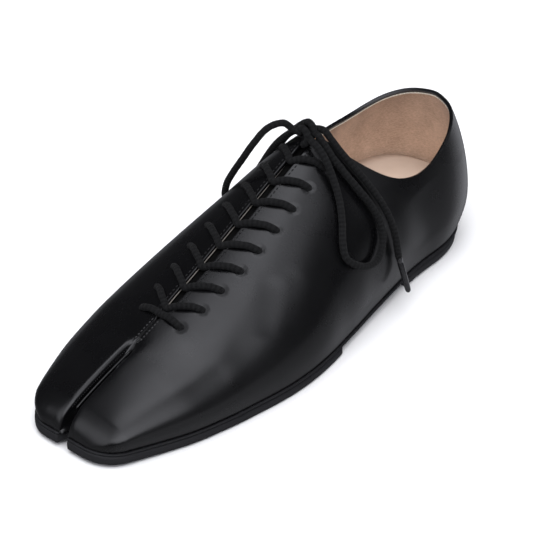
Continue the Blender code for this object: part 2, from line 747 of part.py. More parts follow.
def smooth_route(points, spacing):
    """Points at an even spacing on a smooth curve through the route's points, in metres."""
    knots = [0.0]
    for one, two in zip(points, points[1:]):
        knots.append(knots[-1] + (two - one).length)
    count = max(round(knots[-1] / (spacing * MM)), 1)
    route = []
    for step in range(count + 1):
        at = knots[-1] * step / count
        route.append(Vector(curve_value(knots, [p[axis] for p in points], at) for axis in range(3)))
    return route


def add_tube(name, points, radius, colour, roughness):
    """A round cord through the points, with closed ends."""
    curve = bpy.data.curves.new(name, "CURVE")
    curve.dimensions = "3D"
    curve.bevel_depth = radius * MM
    curve.bevel_resolution = 2
    curve.use_fill_caps = True
    spline = curve.splines.new("POLY")
    spline.points.add(len(points) - 1)
    for knot, point in zip(spline.points, points):
        knot.co = (*point, 1.0)
    curve.materials.append(material(name, colour, roughness))
    made = bpy.data.objects.new(name, curve)
    bpy.context.scene.collection.objects.link(made)


def lace_bar(hole, side, slant):
    """One bar of the lace: from the outer hole to the slit, further towards the toe, and out again."""
    points = []
    for step in range(BAR_POINTS):
        share = 1.0 - 2.0 * step / (BAR_POINTS - 1)
        along = hole - slant * (1.0 - abs(share))
        points.append(over_upper(along, side * share, LACE_RADIUS + LACE_CLEAR))
    return points


def build_lace():
    """The bars over the slit, then the bow with its knot, loops, ends and aglets."""
    for index, side in enumerate(HOLE_SIDES):
        slant = BAR_SLANT if index else 0.0
        points = lace_bar(HOLE_FIRST + HOLE_PITCH * index, side, slant)
        add_tube(f"lace_bar_{index + 1}", points, LACE_RADIUS, LACE_BLACK, LACE_ROUGHNESS)
    add_tube("lace_knot", knot_route(), LACE_RADIUS, LACE_BLACK, LACE_ROUGHNESS)
    cords = {
        "lace_loop_lateral": LOOP_LATERAL,
        "lace_end_lateral": END_LATERAL,
        "lace_loop_medial": LOOP_MEDIAL,
        "lace_end_medial": END_MEDIAL,
    }
    for name, route in cords.items():
        points = smooth_route([to_world(OUTER, *point) for point in route], CORD_SPACING)
        add_tube(name, points, LACE_RADIUS, LACE_BLACK, LACE_ROUGHNESS)
    aglets = {"aglet_lateral": AGLET_LATERAL, "aglet_medial": AGLET_MEDIAL}
    for name, route in aglets.items():
        points = [to_world(OUTER, *point) for point in route]
        add_tube(name, points, AGLET_RADIUS, AGLET_BLACK, AGLET_ROUGHNESS)


def knot_route():
    """Two turns of lace wound round the line of the slit."""
    points = []
    for step in range(KNOT_STEPS + 1):
        turned = step / KNOT_STEPS
        angle = math.tau * KNOT_TURNS * turned
        along = KNOT_ALONG + KNOT_PITCH * KNOT_TURNS * (turned - 0.5)
        side = KNOT_RADIUS * math.sin(angle)
        rise = (along - KNOT_ALONG) * RIDGE_SLOPE
        points.append(to_world(OUTER, along, side, KNOT_UP + rise - KNOT_RADIUS * math.cos(angle)))
    return points


def clear_scene():
    """Remove whatever the scene holds."""
    for item in list(bpy.data.objects):
        bpy.data.objects.remove(item, do_unlink=True)


clear_scene()
build_upper()
build_soles()
build_insole()
build_lace()
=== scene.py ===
"""Looks of the split-toe lace-up flat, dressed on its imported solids.

The shoe is laid out in millimetres on its last: along runs from the toe's front to the heel,
side is positive towards the outside of the left foot, and up is the height over the floor.
"""

import logging
import math
from collections.abc import Callable, Sequence
from dataclasses import dataclass, field
from enum import Enum

import bmesh
import bpy
from mathutils import Matrix, Vector
from mathutils.bvhtree import BVHTree
from mathutils.kdtree import KDTree


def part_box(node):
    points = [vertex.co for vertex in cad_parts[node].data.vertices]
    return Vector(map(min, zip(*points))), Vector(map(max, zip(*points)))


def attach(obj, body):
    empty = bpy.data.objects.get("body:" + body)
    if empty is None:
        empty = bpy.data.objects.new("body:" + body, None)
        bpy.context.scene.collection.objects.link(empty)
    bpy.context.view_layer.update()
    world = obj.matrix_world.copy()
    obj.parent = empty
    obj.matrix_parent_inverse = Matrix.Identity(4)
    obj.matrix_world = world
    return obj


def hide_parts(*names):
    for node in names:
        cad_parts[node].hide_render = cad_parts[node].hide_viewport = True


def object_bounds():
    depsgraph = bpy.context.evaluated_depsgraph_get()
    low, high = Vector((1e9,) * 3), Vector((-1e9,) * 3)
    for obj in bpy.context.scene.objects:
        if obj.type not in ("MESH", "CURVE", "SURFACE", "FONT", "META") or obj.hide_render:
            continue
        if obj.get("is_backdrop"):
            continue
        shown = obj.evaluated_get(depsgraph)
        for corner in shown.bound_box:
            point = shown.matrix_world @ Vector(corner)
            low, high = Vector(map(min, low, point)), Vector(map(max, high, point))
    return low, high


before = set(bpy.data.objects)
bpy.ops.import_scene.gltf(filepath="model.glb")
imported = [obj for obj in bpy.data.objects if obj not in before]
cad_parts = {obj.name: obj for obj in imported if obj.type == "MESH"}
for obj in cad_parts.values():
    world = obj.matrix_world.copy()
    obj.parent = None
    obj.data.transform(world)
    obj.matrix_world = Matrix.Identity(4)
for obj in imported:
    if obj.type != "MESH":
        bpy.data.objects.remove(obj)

CAD_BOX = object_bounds()
LOG = logging.getLogger("flat")

MM = 0.001
CENTRE_SIDE = 3.05
TOE_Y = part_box("forefoot_sole")[0].y
WELD = 1e-6
SHOE = "root"
CREASE_LAYER = "crease_edge"
CORD_MAP = "cord"
RIM_LAYER = "rim"
HOLE_LAYER = "hole"

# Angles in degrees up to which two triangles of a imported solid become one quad
JOIN_FACE_ANGLE = 50.0
JOIN_SHAPE_ANGLE = 70.0
# A tube's sideways direction is chosen anew where less than this share of it is left
LEAST_ACROSS = 0.05
# The leather is found by looking down from this height, in millimetres
RAY_FROM = 200.0
# Nearer to the slit's line than this there may be no leather, so it is bridged from edge to edge
SLIT_REACH = 3.2

Triple = tuple[float, float, float]
Colour = Triple
Profile = tuple[tuple[float, float], ...]
Spot = tuple[Vector, Vector]
Inputs = dict[str | int, object]
Socket = bpy.types.NodeSocket
Node = bpy.types.Node
Material = bpy.types.Material
Mesh = bmesh.types.BMesh
Edge = bmesh.types.BMEdge
Piece = bpy.types.Object


@dataclass(frozen=True)
class Place:
    """A point of the shoe in millimetres on its last."""

    along: float
    side: float
    up: float = 0.0

    def metres(self) -> Vector:
        """The same point in the frame."""
        return Vector(((self.side - CENTRE_SIDE) * MM, TOE_Y + self.along * MM, self.up * MM))


class Side(Enum):
    """The two sides of the shoe, each with the sign of its side coordinate."""

    LATERAL = 1.0
    MEDIAL = -1.0

    def label(self) -> str:
        """The side's word in a piece's name."""
        return self.name.lower()


class Slot(Enum):
    """The record's material slots."""

    LEATHER = "upper_leather"
    INSOLE = "insole_leather"
    RUBBER = "sole_rubber"
    LACE = "lace_cord"
    AGLET = "aglet_plastic"


class FarEnd(Enum):
    """What a cord's far end is."""

    OBJECT = "object"
    KNOT = "knot"
    FITTING = "fitting"


class Lay(Enum):
    """How a cord lies."""

    TAUT = "taut"
    HANGING = "hanging"


# Lace route, as in the part's source
LACE_RADIUS = 1.6
HOLE_FIRST = 61.4
HOLE_PITCH = 11.35
HOLE_SIDES = (11.2, 13.2, 14.0, 14.8, 15.0, 15.0, 14.4, 13.4, 12.4)
BAR_SLANT = 8.0
LOOP_LATERAL = (
    Place(151.9, 5.1, 83.2),
    Place(151.4, 9.4, 81.8),
    Place(150.6, 14.6, 77.9),
    Place(149.4, 19.9, 71.4),
    Place(146.9, 25.8, 63.6),
    Place(142.4, 31.3, 57.1),
    Place(137.6, 35.9, 50.9),
    Place(136.1, 39.2, 45.4),
    Place(140.0, 41.6, 40.9),
    Place(147.7, 42.2, 36.7),
    Place(155.3, 41.3, 36.1),
    Place(160.8, 39.2, 40.9),
    Place(162.9, 36.1, 48.0),
    Place(161.7, 32.1, 55.9),
    Place(159.1, 27.1, 63.2),
    Place(156.9, 20.0, 70.8),
    Place(155.9, 13.6, 76.8),
    Place(155.9, 9.2, 81.0),
    Place(156.0, 5.1, 84.2),
)
END_LATERAL = (
    Place(159.9, 5.1, 85.0),
    Place(160.4, 9.0, 81.8),
    Place(161.3, 13.2, 77.4),
    Place(162.7, 18.9, 71.8),
    Place(165.2, 25.1, 64.6),
    Place(167.7, 30.6, 56.7),
    Place(169.7, 34.8, 48.6),
    Place(170.6, 37.8, 40.3),
    Place(170.8, 39.6, 32.0),
    Place(171.0, 40.2, 28.2),
)
AGLET_LATERAL = (Place(171.1, 40.3, 27.8), Place(175.5, 42.8, 8.6))
LOOP_MEDIAL = (
    Place(151.9, -5.1, 84.8),
    Place(149.3, -8.8, 87.8),
    Place(143.8, -13.0, 86.0),
    Place(138.5, -16.6, 79.0),
    Place(135.8, -20.4, 71.0),
    Place(135.5, -25.4, 62.5),
    Place(136.4, -30.6, 53.0),
    Place(138.8, -33.6, 43.6),
    Place(145.2, -34.5, 38.0),
    Place(152.2, -33.8, 40.0),
    Place(156.9, -31.0, 49.4),
    Place(158.6, -27.0, 58.0),
    Place(158.2, -21.8, 66.4),
    Place(156.9, -15.8, 73.6),
    Place(156.0, -10.0, 79.4),
    Place(156.0, -5.1, 83.6),
)
END_MEDIAL = (
    Place(159.9, -5.1, 84.6),
    Place(160.4, -9.0, 81.2),
    Place(161.3, -13.2, 76.8),
    Place(162.7, -18.9, 70.4),
    Place(165.0, -24.2, 62.9),
    Place(167.5, -28.2, 54.7),
    Place(169.4, -31.3, 45.7),
    Place(170.4, -33.2, 37.4),
    Place(170.8, -34.4, 30.0),
)
AGLET_MEDIAL = (Place(170.8, -34.5, 29.6), Place(174.6, -37.0, 10.4))


def ease(low: float, high: float, at: float) -> float:
    """0 below low, 1 above high, smooth between them."""
    t = min(max((at - low) / (high - low), 0.0), 1.0)
    return t * t * (3.0 - 2.0 * t)


def shoe_along(point: Vector) -> float:
    """How far a point of the frame is from the toe's front, in millimetres."""
    return (point.y - TOE_Y) / MM


def shoe_side(point: Vector) -> float:
    """How far a point of the frame is out from the slit's line, in millimetres."""
    return point.x / MM + CENTRE_SIDE


# Node sheets and shared effects


class NodeSheet:
    """Adds nodes to one material's or group's tree by plain calls."""

    def __init__(self, tree: bpy.types.NodeTree) -> None:
        """Starts a sheet on a tree."""
        self.tree = tree

    def add(self, kind: str, inputs: Inputs | None = None, **settings: object) -> Node:
        """Adds a node.

        Args:
            kind: the node's type.
            inputs: for each named or numbered input, a socket to link or a value to set.
            settings: the node's own properties.

        Returns:
            The new node.
        """
        node = self.tree.nodes.new(kind)
        for name, value in settings.items():
            setattr(node, name, value)
        self.fill(node, inputs or {})
        return node

    def fill(self, node: Node, inputs: Inputs) -> None:
        """Links or sets each of a node's named or numbered inputs."""
        for name, value in inputs.items():
            self.join(node.inputs[name], value)

    def join(self, socket: Socket, value: object) -> None:
        """Gives a socket its link or value.

        Args:
            socket: an input.
            value: a socket to link it to, or a value to set.
        """
        if isinstance(value, Socket):
            self.tree.links.new(value, socket)
        else:
            socket.default_value = value

    def maths(self, operation: str, *values: object) -> Socket:
        """The result of a Math node on sockets or numbers."""
        return self.add("ShaderNodeMath", dict(enumerate(values)), operation=operation).outputs[0]

    def scaled(self, value: object, factor: float, base: object) -> Socket:
        """A value times a factor, on top of a base."""
        return self.maths("MULTIPLY_ADD", value, factor, base)

    def between(
        self, value: object, low: float, high: float, start: float = 0.0, end: float = 1.0
    ) -> Socket:
        """A value moved smoothly from start to end while it goes from low to high."""
        inputs = {"Value": value, "From Min": low, "From Max": high, "To Min": start, "To Max": end}
        return self.add("ShaderNodeMapRange", inputs, interpolation_type="SMOOTHSTEP").outputs[0]

    def blend(self, share: object, one: Colour | Socket, two: Colour | Socket) -> Socket:
        """A colour between two colours.

        Args:
            share: how much of the second colour is taken, from 0 to 1.
            one: the first colour.
            two: the second colour.

        Returns:
            The mixed colour.
        """
        inputs = {"Factor": share}
        for name, colour in (("A", one), ("B", two)):
            inputs[name] = colour if isinstance(colour, Socket) else opaque(colour)
        node = self.add("ShaderNodeMix", data_type="RGBA")
        for socket in node.inputs:
            if socket.enabled and socket.name in inputs:
                self.join(socket, inputs[socket.name])
        return next(socket for socket in node.outputs if socket.enabled)

    def noise(self, vector: object, scale: object, detail: float, roughness: float = 0.5) -> Socket:
        """The value of a noise texture."""
        inputs = {"Vector": vector, "Scale": scale, "Detail": detail, "Roughness": roughness}
        return self.add("ShaderNodeTexNoise", inputs).outputs[0]

    def place(self) -> Socket:
        """The piece's own object coordinates."""
        return self.add("ShaderNodeTexCoord").outputs["Object"]

    def stretched(self, vector: object, scale: Triple) -> Socket:
        """Coordinates scaled on each axis."""
        return self.add("ShaderNodeMapping", {"Vector": vector, "Scale": scale}).outputs[0]

    def axes(self, vector: object) -> Sequence[Socket]:
        """The three numbers of a vector."""
        return self.add("ShaderNodeSeparateXYZ", {"Vector": vector}).outputs

    def attribute(self, name: str) -> Socket:
        """A number that is kept on the piece's vertices."""
        return self.add("ShaderNodeAttribute", attribute_name=name).outputs["Fac"]

    def effect(self, tree: bpy.types.NodeTree, where: Socket, **values: float) -> Node:
        """A shared effect laid on some coordinates, with its own values."""
        return self.add("ShaderNodeGroup", {"Vector": where, **values}, node_tree=tree)

    def bump(self, height: object, depth: float, under: Socket | None = None) -> Socket:
        """A normal bent by a relief.

        Args:
            height: the relief, between 0 and 1.
            depth: how many millimetres a height of 1 stands for.
            under: the normal of a relief that this one lies on.

        Returns:
            The bent normal.
        """
        inputs = {"Height": height, "Distance": depth * MM, "Strength": 1.0}
        if under is not None:
            inputs["Normal"] = under
        return self.add("ShaderNodeBump", inputs).outputs[0]


def opaque(colour: Colour) -> tuple[float, float, float, float]:
    """A colour with full alpha."""
    return (*colour, 1.0)


def new_group(
    name: str, inputs: dict[str, float], outputs: Sequence[str]
) -> tuple[NodeSheet, Node, Node]:
    """A shader node group with a vector input, number inputs and number outputs.

    Args:
        name: the group's name.
        inputs: the number inputs with their values.
        outputs: the names of the outputs.

    Returns:
        The sheet of the group's tree, its input node and its output node.
    """
    tree = bpy.data.node_groups.new(name, "ShaderNodeTree")
    tree.interface.new_socket("Vector", in_out="INPUT", socket_type="NodeSocketVector")
    for label, value in inputs.items():
        made = tree.interface.new_socket(label, in_out="INPUT", socket_type="NodeSocketFloat")
        made.default_value = value
    for label in outputs:
        tree.interface.new_socket(label, in_out="OUTPUT", socket_type="NodeSocketFloat")
    sheet = NodeSheet(tree)
    return sheet, sheet.add("NodeGroupInput"), sheet.add("NodeGroupOutput")


@dataclass(frozen=True)
class Skin:
    """Leather's skin: fine pebbles and pores as a height, and slow patches as a mottle."""

    pebble: float = 900.0
    patch: float = 30.0
    pore_fineness: float = 2.2
    pore_detail: float = 2.0
    pore_share: float = 0.6
    patch_detail: float = 5.0
    patch_roughness: float = 0.6
    mottle_low: float = 0.3
    mottle_high: float = 0.7

    def group(self) -> bpy.types.NodeTree:
        """Builds the shared effect.

        Returns:
            The node group.
        """
        inputs = {"Pebble": self.pebble, "Patch": self.patch}
        sheet, given, result = new_group("skin", inputs, ("Height", "Mottle"))
        where = given.outputs["Vector"]
        pebble = given.outputs["Pebble"]
        cells = sheet.add("ShaderNodeTexVoronoi", {"Vector": where, "Scale": pebble}, feature="SMOOTH_F1")
        fineness = sheet.maths("MULTIPLY", pebble, self.pore_fineness)
        pores = sheet.noise(where, fineness, self.pore_detail)
        pebbles = sheet.maths("SUBTRACT", 1.0, cells.outputs["Distance"])
        patches = sheet.noise(where, given.outputs["Patch"], self.patch_detail, self.patch_roughness)
        mottle = sheet.between(patches, self.mottle_low, self.mottle_high)
        sheet.fill(result, {"Height": sheet.scaled(pores, self.pore_share, pebbles), "Mottle": mottle})
        return sheet.tree


@dataclass(frozen=True)
class RubMarks:
    """Short scattered scuffs as a mask."""

    size: float = 60.0
    stretch: Triple = (1.0, 0.35, 1.0)
    detail: float = 8.0
    roughness: float = 0.7
    mask_low: float = 0.56
    mask_high: float = 0.74

    def group(self) -> bpy.types.NodeTree:
        """Builds the shared effect.

        Returns:
            The node group.
        """
        sheet, given, result = new_group("rub", {"Size": self.size}, ("Mask",))
        drawn = sheet.stretched(given.outputs["Vector"], self.stretch)
        marks = sheet.noise(drawn, given.outputs["Size"], self.detail, self.roughness)
        sheet.fill(result, {"Mask": sheet.between(marks, self.mask_low, self.mask_high)})
        return sheet.tree


SKIN = Skin().group()
RUB = RubMarks().group()


# Finishes: sizes and depths in millimetres, pattern scales per metre


@dataclass(frozen=True)
class Finish:
    """What the finishes share: a name and a Principled shader."""

    name: str

    def inputs(self, sheet: NodeSheet) -> Inputs:
        """Lays out the finish; each finish has its own."""
        raise NotImplementedError

    def material(self) -> Material:
        """Builds the material.

        Returns:
            The material.
        """
        made = bpy.data.materials.new(self.name)
        made.use_nodes = True
        sheet = NodeSheet(made.node_tree)
        sheet.fill(made.node_tree.nodes["Principled BSDF"], self.inputs(sheet))
        return made


@dataclass(frozen=True)
class LeatherFinish(Finish):
    """Smooth black calf with a satin finish, its centre seam, and painted shade in its punched holes."""

    name: str = "black_leather"
    black: Colour = (0.0018, 0.0018, 0.0021)
    worn: Colour = (0.0036, 0.0036, 0.0041)
    seam_colour_and_hole_shade: Colour = (0.003, 0.003, 0.003)
    wear: float = 0.45
    pebble: float = 1500.0
    patch: float = 26.0
    grain: float = 0.02
    roughness: float = 0.23
    mottle_roughness: float = 0.10
    rub_roughness: float = 0.12
    coat: float = 0.35
    coat_roughness: float = 0.17
    seam_start: float = 45.0
    seam_end: float = 62.0
    seam_half: float = 0.55
    seam_fade: float = 2.0
    seam_depth: float = 0.6
    hole_core: float = 1.1
    hole_radius: float = 2.0
    dent_core: float = 0.6
    dent_radius: float = 3.8
    dent_depth: float = 0.45

    def inputs(self, sheet: NodeSheet) -> Inputs:
        """Lays out the finish.

        Args:
            sheet: the material's sheet.

        Returns:
            The shader's inputs.
        """
        where = sheet.place()
        skin = sheet.effect(SKIN, where, Pebble=self.pebble, Patch=self.patch)
        mottle = skin.outputs["Mottle"]
        rub = sheet.effect(RUB, where).outputs["Mask"]
        hole = sheet.attribute(HOLE_LAYER)
        seam = self.seam(sheet, where)
        worn = sheet.maths("MULTIPLY", sheet.maths("ADD", mottle, rub), self.wear)
        colour = sheet.blend(worn, self.black, self.worn)
        # Painted shade: each punched hole gets a flat patch of the seam's colour where its dark opening
        # would be
        punched = sheet.between(hole, self.hole_core, self.hole_radius, 1.0, 0.0)
        spread = sheet.scaled(mottle, self.mottle_roughness, self.roughness)
        grain = sheet.bump(skin.outputs["Height"], self.grain)
        dented = sheet.bump(sheet.between(hole, self.dent_core, self.dent_radius), self.dent_depth, grain)
        return {
            "Base Color": sheet.blend(sheet.maths("MAXIMUM", seam, punched), colour, self.seam_colour_and_hole_shade),
            "Roughness": sheet.scaled(rub, self.rub_roughness, spread),
            "Normal": sheet.bump(sheet.maths("SUBTRACT", 1.0, seam), self.seam_depth, dented),
            "Coat Weight": self.coat,
            "Coat Roughness": self.coat_roughness,
        }

    def seam(self, sheet: NodeSheet, where: Socket) -> Socket:
        """The closed seam between the split toe and the slit.

        Args:
            sheet: the material's sheet.
            where: the piece's coordinates.

        Returns:
            A mask of the seam.
        """
        across, along, _ = sheet.axes(where)
        off = sheet.maths("ABSOLUTE", sheet.maths("ADD", across, CENTRE_SIDE * MM))
        line = sheet.between(off, 0.0, self.seam_half * MM, 1.0, 0.0)
        start = TOE_Y + self.seam_start * MM
        end = TOE_Y + self.seam_end * MM
        fade = self.seam_fade * MM
        begun = sheet.between(along, start, start + fade)
        unended = sheet.between(along, end - fade, end, 1.0, 0.0)
        return sheet.maths("MULTIPLY", line, sheet.maths("MULTIPLY", begun, unended))


@dataclass(frozen=True)
class LiningFinish(Finish):
    """Tan suede lining, with the black turned edge and the lining's pale cut edge under the rim."""

    name: str = "tan_lining"
    tan: Colour = (0.76, 0.545, 0.405)
    shade: Colour = (0.42, 0.28, 0.195)
    cream: Colour = (0.88, 0.82, 0.71)
    black: Colour = (0.0034, 0.0034, 0.0037)
    nap_stretch: Triple = (0.4, 0.4, 1.0)
    nap_scale: float = 2100.0
    nap_detail: float = 5.0
    nap_roughness: float = 0.7
    nap_low: float = 0.3
    nap_high: float = 0.7
    nap_share: float = 0.5
    nap_depth: float = 0.07
    patch: float = 60.0
    patch_share: float = 0.5
    turned: float = 1.3
    turn_soft: float = 0.15
    turn_depth: float = 0.35
    edge_start: float = 2.15
    edge_end: float = 2.5
    turned_roughness: float = 0.42
    suede_roughness: float = 0.90
    sheen: float = 0.15
    sheen_roughness: float = 0.5

    def inputs(self, sheet: NodeSheet) -> Inputs:
        """Lays out the finish.

        Args:
            sheet: the material's sheet.

        Returns:
            The shader's inputs.
        """
        where = sheet.place()
        streaked = sheet.stretched(where, self.nap_stretch)
        fibres = sheet.noise(streaked, self.nap_scale, self.nap_detail, self.nap_roughness)
        nap = sheet.between(fibres, self.nap_low, self.nap_high)
        mottle = sheet.effect(SKIN, where, Patch=self.patch).outputs["Mottle"]
        rim = sheet.attribute(RIM_LAYER)
        patches = sheet.maths("MULTIPLY", mottle, self.patch_share)
        suede = sheet.blend(sheet.scaled(nap, self.nap_share, patches), self.shade, self.tan)
        past_edge = sheet.between(rim, self.edge_start, self.edge_end)
        edged = sheet.blend(past_edge, self.cream, suede)
        past_turn = sheet.between(rim, self.turned - self.turn_soft, self.turned + self.turn_soft)
        rougher = self.suede_roughness - self.turned_roughness
        return {
            "Base Color": sheet.blend(past_turn, self.black, edged),
            "Roughness": sheet.scaled(past_turn, rougher, self.turned_roughness),
            "Normal": sheet.bump(past_turn, self.turn_depth, sheet.bump(nap, self.nap_depth)),
            "Sheen Weight": self.sheen,
            "Sheen Roughness": self.sheen_roughness,
        }


@dataclass(frozen=True)
class FootbedFinish(Finish):
    """Smooth pinkish beige insole leather, a little darker where a foot has stood."""

    name: str = "beige_footbed"
    beige: Colour = (0.52, 0.41, 0.335)
    shade: Colour = (0.43, 0.33, 0.26)
    stood: float = 0.55
    pebble: float = 1300.0
    patch: float = 40.0
    grain: float = 0.06
    roughness: float = 0.55
    mottle_roughness: float = 0.12

    def inputs(self, sheet: NodeSheet) -> Inputs:
        """Lays out the finish.

        Args:
            sheet: the material's sheet.

        Returns:
            The shader's inputs.
        """
        skin = sheet.effect(SKIN, sheet.place(), Pebble=self.pebble, Patch=self.patch)
        mottle = skin.outputs["Mottle"]
        return {
            "Base Color": sheet.blend(sheet.maths("MULTIPLY", mottle, self.stood), self.beige, self.shade),
            "Roughness": sheet.scaled(mottle, self.mottle_roughness, self.roughness),
            "Normal": sheet.bump(skin.outputs["Height"], self.grain),
        }


@dataclass(frozen=True)
class MatteFinish(Finish):
    """Matte black rubber, or the black sheet of painted shade under the slit, with a fine texture and
    dusty rub marks.
    """

    black: Colour = (0.0105, 0.0105, 0.012)
    dusty: Colour = (0.022, 0.022, 0.0245)
    roughness: float = 0.62
    specular: float = 0.35
    speckle: float = 1800.0
    speckle_detail: float = 3.0
    speckle_roughness: float = 0.6
    speckle_share: float = 0.4
    speckle_depth: float = 0.05
    rub_size: float = 90.0
    rub_share: float = 0.6
    rub_roughness: float = 0.14

    def inputs(self, sheet: NodeSheet) -> Inputs:
        """Lays out the finish.

        Args:
            sheet: the material's sheet.

        Returns:
            The shader's inputs.
        """
        where = sheet.place()
        speckles = sheet.noise(where, self.speckle, self.speckle_detail, self.speckle_roughness)
        rub = sheet.effect(RUB, where, Size=self.rub_size).outputs["Mask"]
        dust = sheet.scaled(rub, self.rub_share, sheet.maths("MULTIPLY", speckles, self.speckle_share))
        return {
            "Base Color": sheet.blend(dust, self.black, self.dusty),
            "Roughness": sheet.scaled(rub, self.rub_roughness, self.roughness),
            "Normal": sheet.bump(speckles, self.speckle_depth),
            "Specular IOR Level": self.specular,
        }


@dataclass(frozen=True)
class LaceFinish(Finish):
    """Matte black braided cotton, with a painted highlight that makes the crowns of its strands lighter.
    """

    name: str = "black_lace"
    black: Colour = (0.0028, 0.0028, 0.003)
    # Lighter colour on the strands' crowns: a painted highlight
    crown: Colour = (0.009, 0.0092, 0.0098)
    strands: float = 8.0
    braid_reach: float = 0.8
    braid_depth: float = 0.16
    fibre: float = 4200.0
    fibre_detail: float = 3.0
    fibre_roughness: float = 0.7
    fibre_share: float = 0.9
    fibre_base: float = 0.35
    fibre_depth: float = 0.08
    roughness: float = 0.74
    roughness_spread: float = 0.15
    specular: float = 0.25
    sheen: float = 0.02

    def inputs(self, sheet: NodeSheet) -> Inputs:
        """Lays out the finish.

        Args:
            sheet: the material's sheet.

        Returns:
            The shader's inputs.
        """
        along, turn, _ = sheet.axes(sheet.add("ShaderNodeUVMap", uv_map=CORD_MAP).outputs[0])
        run = sheet.maths("MULTIPLY", along, math.tau)
        round_turn = sheet.maths("MULTIPLY", turn, math.tau * self.strands)
        right = sheet.maths("SINE", sheet.maths("ADD", run, round_turn))
        left = sheet.maths("SINE", sheet.maths("SUBTRACT", run, round_turn))
        crossed = sheet.maths("MULTIPLY", right, left)
        braid = sheet.between(crossed, -self.braid_reach, self.braid_reach)
        fibre = sheet.noise(sheet.place(), self.fibre, self.fibre_detail, self.fibre_roughness)
        fuzz = sheet.scaled(fibre, self.fibre_share, self.fibre_base)
        woven = sheet.bump(braid, self.braid_depth)
        return {
            # The crowns of the braid take the lighter colour: painted highlight
            "Base Color": sheet.blend(sheet.maths("MULTIPLY", braid, fuzz), self.black, self.crown),
            "Roughness": sheet.scaled(fibre, self.roughness_spread, self.roughness),
            "Normal": sheet.bump(fibre, self.fibre_depth, woven),
            "Specular IOR Level": self.specular,
            "Sheen Weight": self.sheen,
        }


@dataclass(frozen=True)
class AgletFinish(Finish):
    """Glossy black plastic with faint draw lines."""

    name: str = "aglet_black"
    black: Colour = (0.008, 0.008, 0.009)
    worn: Colour = (0.02, 0.02, 0.021)
    rub_size: float = 400.0
    rub_roughness: float = 0.2
    roughness: float = 0.12
    line: float = 700.0
    line_detail: float = 2.0
    line_depth: float = 0.03
    coat: float = 1.0
    coat_roughness: float = 0.08

    def inputs(self, sheet: NodeSheet) -> Inputs:
        """Lays out the finish.

        Args:
            sheet: the material's sheet.

        Returns:
            The shader's inputs.
        """
        where = sheet.place()
        rub = sheet.effect(RUB, where, Size=self.rub_size).outputs["Mask"]
        return {
            "Base Color": sheet.blend(rub, self.black, self.worn),
            "Roughness": sheet.scaled(rub, self.rub_roughness, self.roughness),
            "Normal": sheet.bump(sheet.noise(where, self.line, self.line_detail), self.line_depth),
            "Coat Weight": self.coat,
            "Coat Roughness": self.coat_roughness,
        }


@dataclass(frozen=True)
class ThreadFinish(Finish):
    """Waxed sewing thread with its twist."""

    light: Colour
    dark: Colour
    roughness: float = 0.45
    roughness_spread: float = 0.2
    twist: float = 3500.0
    twist_detail: float = 2.0
    twist_depth: float = 0.05

    def inputs(self, sheet: NodeSheet) -> Inputs:
        """Lays out the finish.

        Args:
            sheet: the material's sheet.

        Returns:
            The shader's inputs.
        """
        twist = sheet.noise(sheet.place(), self.twist, self.twist_detail)
        return {
            "Base Color": sheet.blend(twist, self.dark, self.light),
            "Roughness": sheet.scaled(twist, self.roughness_spread, self.roughness),
            "Normal": sheet.bump(twist, self.twist_depth),
        }


@dataclass(frozen=True)
class FloorFinish(Finish):
    """Plain pale studio floor, hardly uneven in its tone."""

    name: str = "pale_floor"
    pale: Colour = (0.88, 0.88, 0.885)
    shaded: float = 0.985
    patch: float = 3.0
    patch_detail: float = 2.0
    roughness: float = 0.9

    def inputs(self, sheet: NodeSheet) -> Inputs:
        """Lays out the finish.

        Args:
            sheet: the material's sheet.

        Returns:
            The shader's inputs.
        """
        tone = sheet.noise(sheet.place(), self.patch, self.patch_detail)
        shade = tuple(self.shaded * value for value in self.pale)
        return {"Base Color": sheet.blend(tone, shade, self.pale), "Roughness": self.roughness}


# A black sheet of painted shade under the slit, standing in for the dark inside of the shoe seen through
# it
SLIT_PAINTED_SHADE = MatteFinish(
    "slit_painted_shade",
    black=(0.002, 0.002, 0.002),
    dusty=(0.004, 0.004, 0.004),
    roughness=0.85,
    specular=0.08,
    speckle=900.0,
)
EDGE_THREAD = ThreadFinish("edge_thread", (0.016, 0.016, 0.017), (0.006, 0.006, 0.0065), 0.75)
# The seam's black thread drawn light grey: a painted highlight on the stitches
SEAM_THREAD = ThreadFinish("seam_thread", (0.05, 0.05, 0.052), (0.018, 0.018, 0.019))
COLLAR_THREAD = ThreadFinish("collar_thread", (0.88, 0.83, 0.74), (0.68, 0.61, 0.5))
# The lining's fold at the slit's edges: its pale grey is partly the lining's edge and partly a painted
# highlight
LINING_FOLD_AND_HIGHLIGHT = ThreadFinish("lining_fold_and_highlight", (0.28, 0.255, 0.23), (0.09, 0.08, 0.072))


# Meshes


def merged_copy(node: str) -> Mesh:
    """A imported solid's mesh with its loose triangles joined and paired into quads.

    Args:
        node: the solid's name.

    Returns:
        The new mesh.
    """
    bm = bmesh.new()
    bm.from_mesh(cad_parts[node].data)
    bmesh.ops.remove_doubles(bm, verts=bm.verts, dist=WELD)
    bmesh.ops.join_triangles(
        bm,
        faces=bm.faces,
        angle_face_threshold=math.radians(JOIN_FACE_ANGLE),
        angle_shape_threshold=math.radians(JOIN_SHAPE_ANGLE),
    )
    return bm


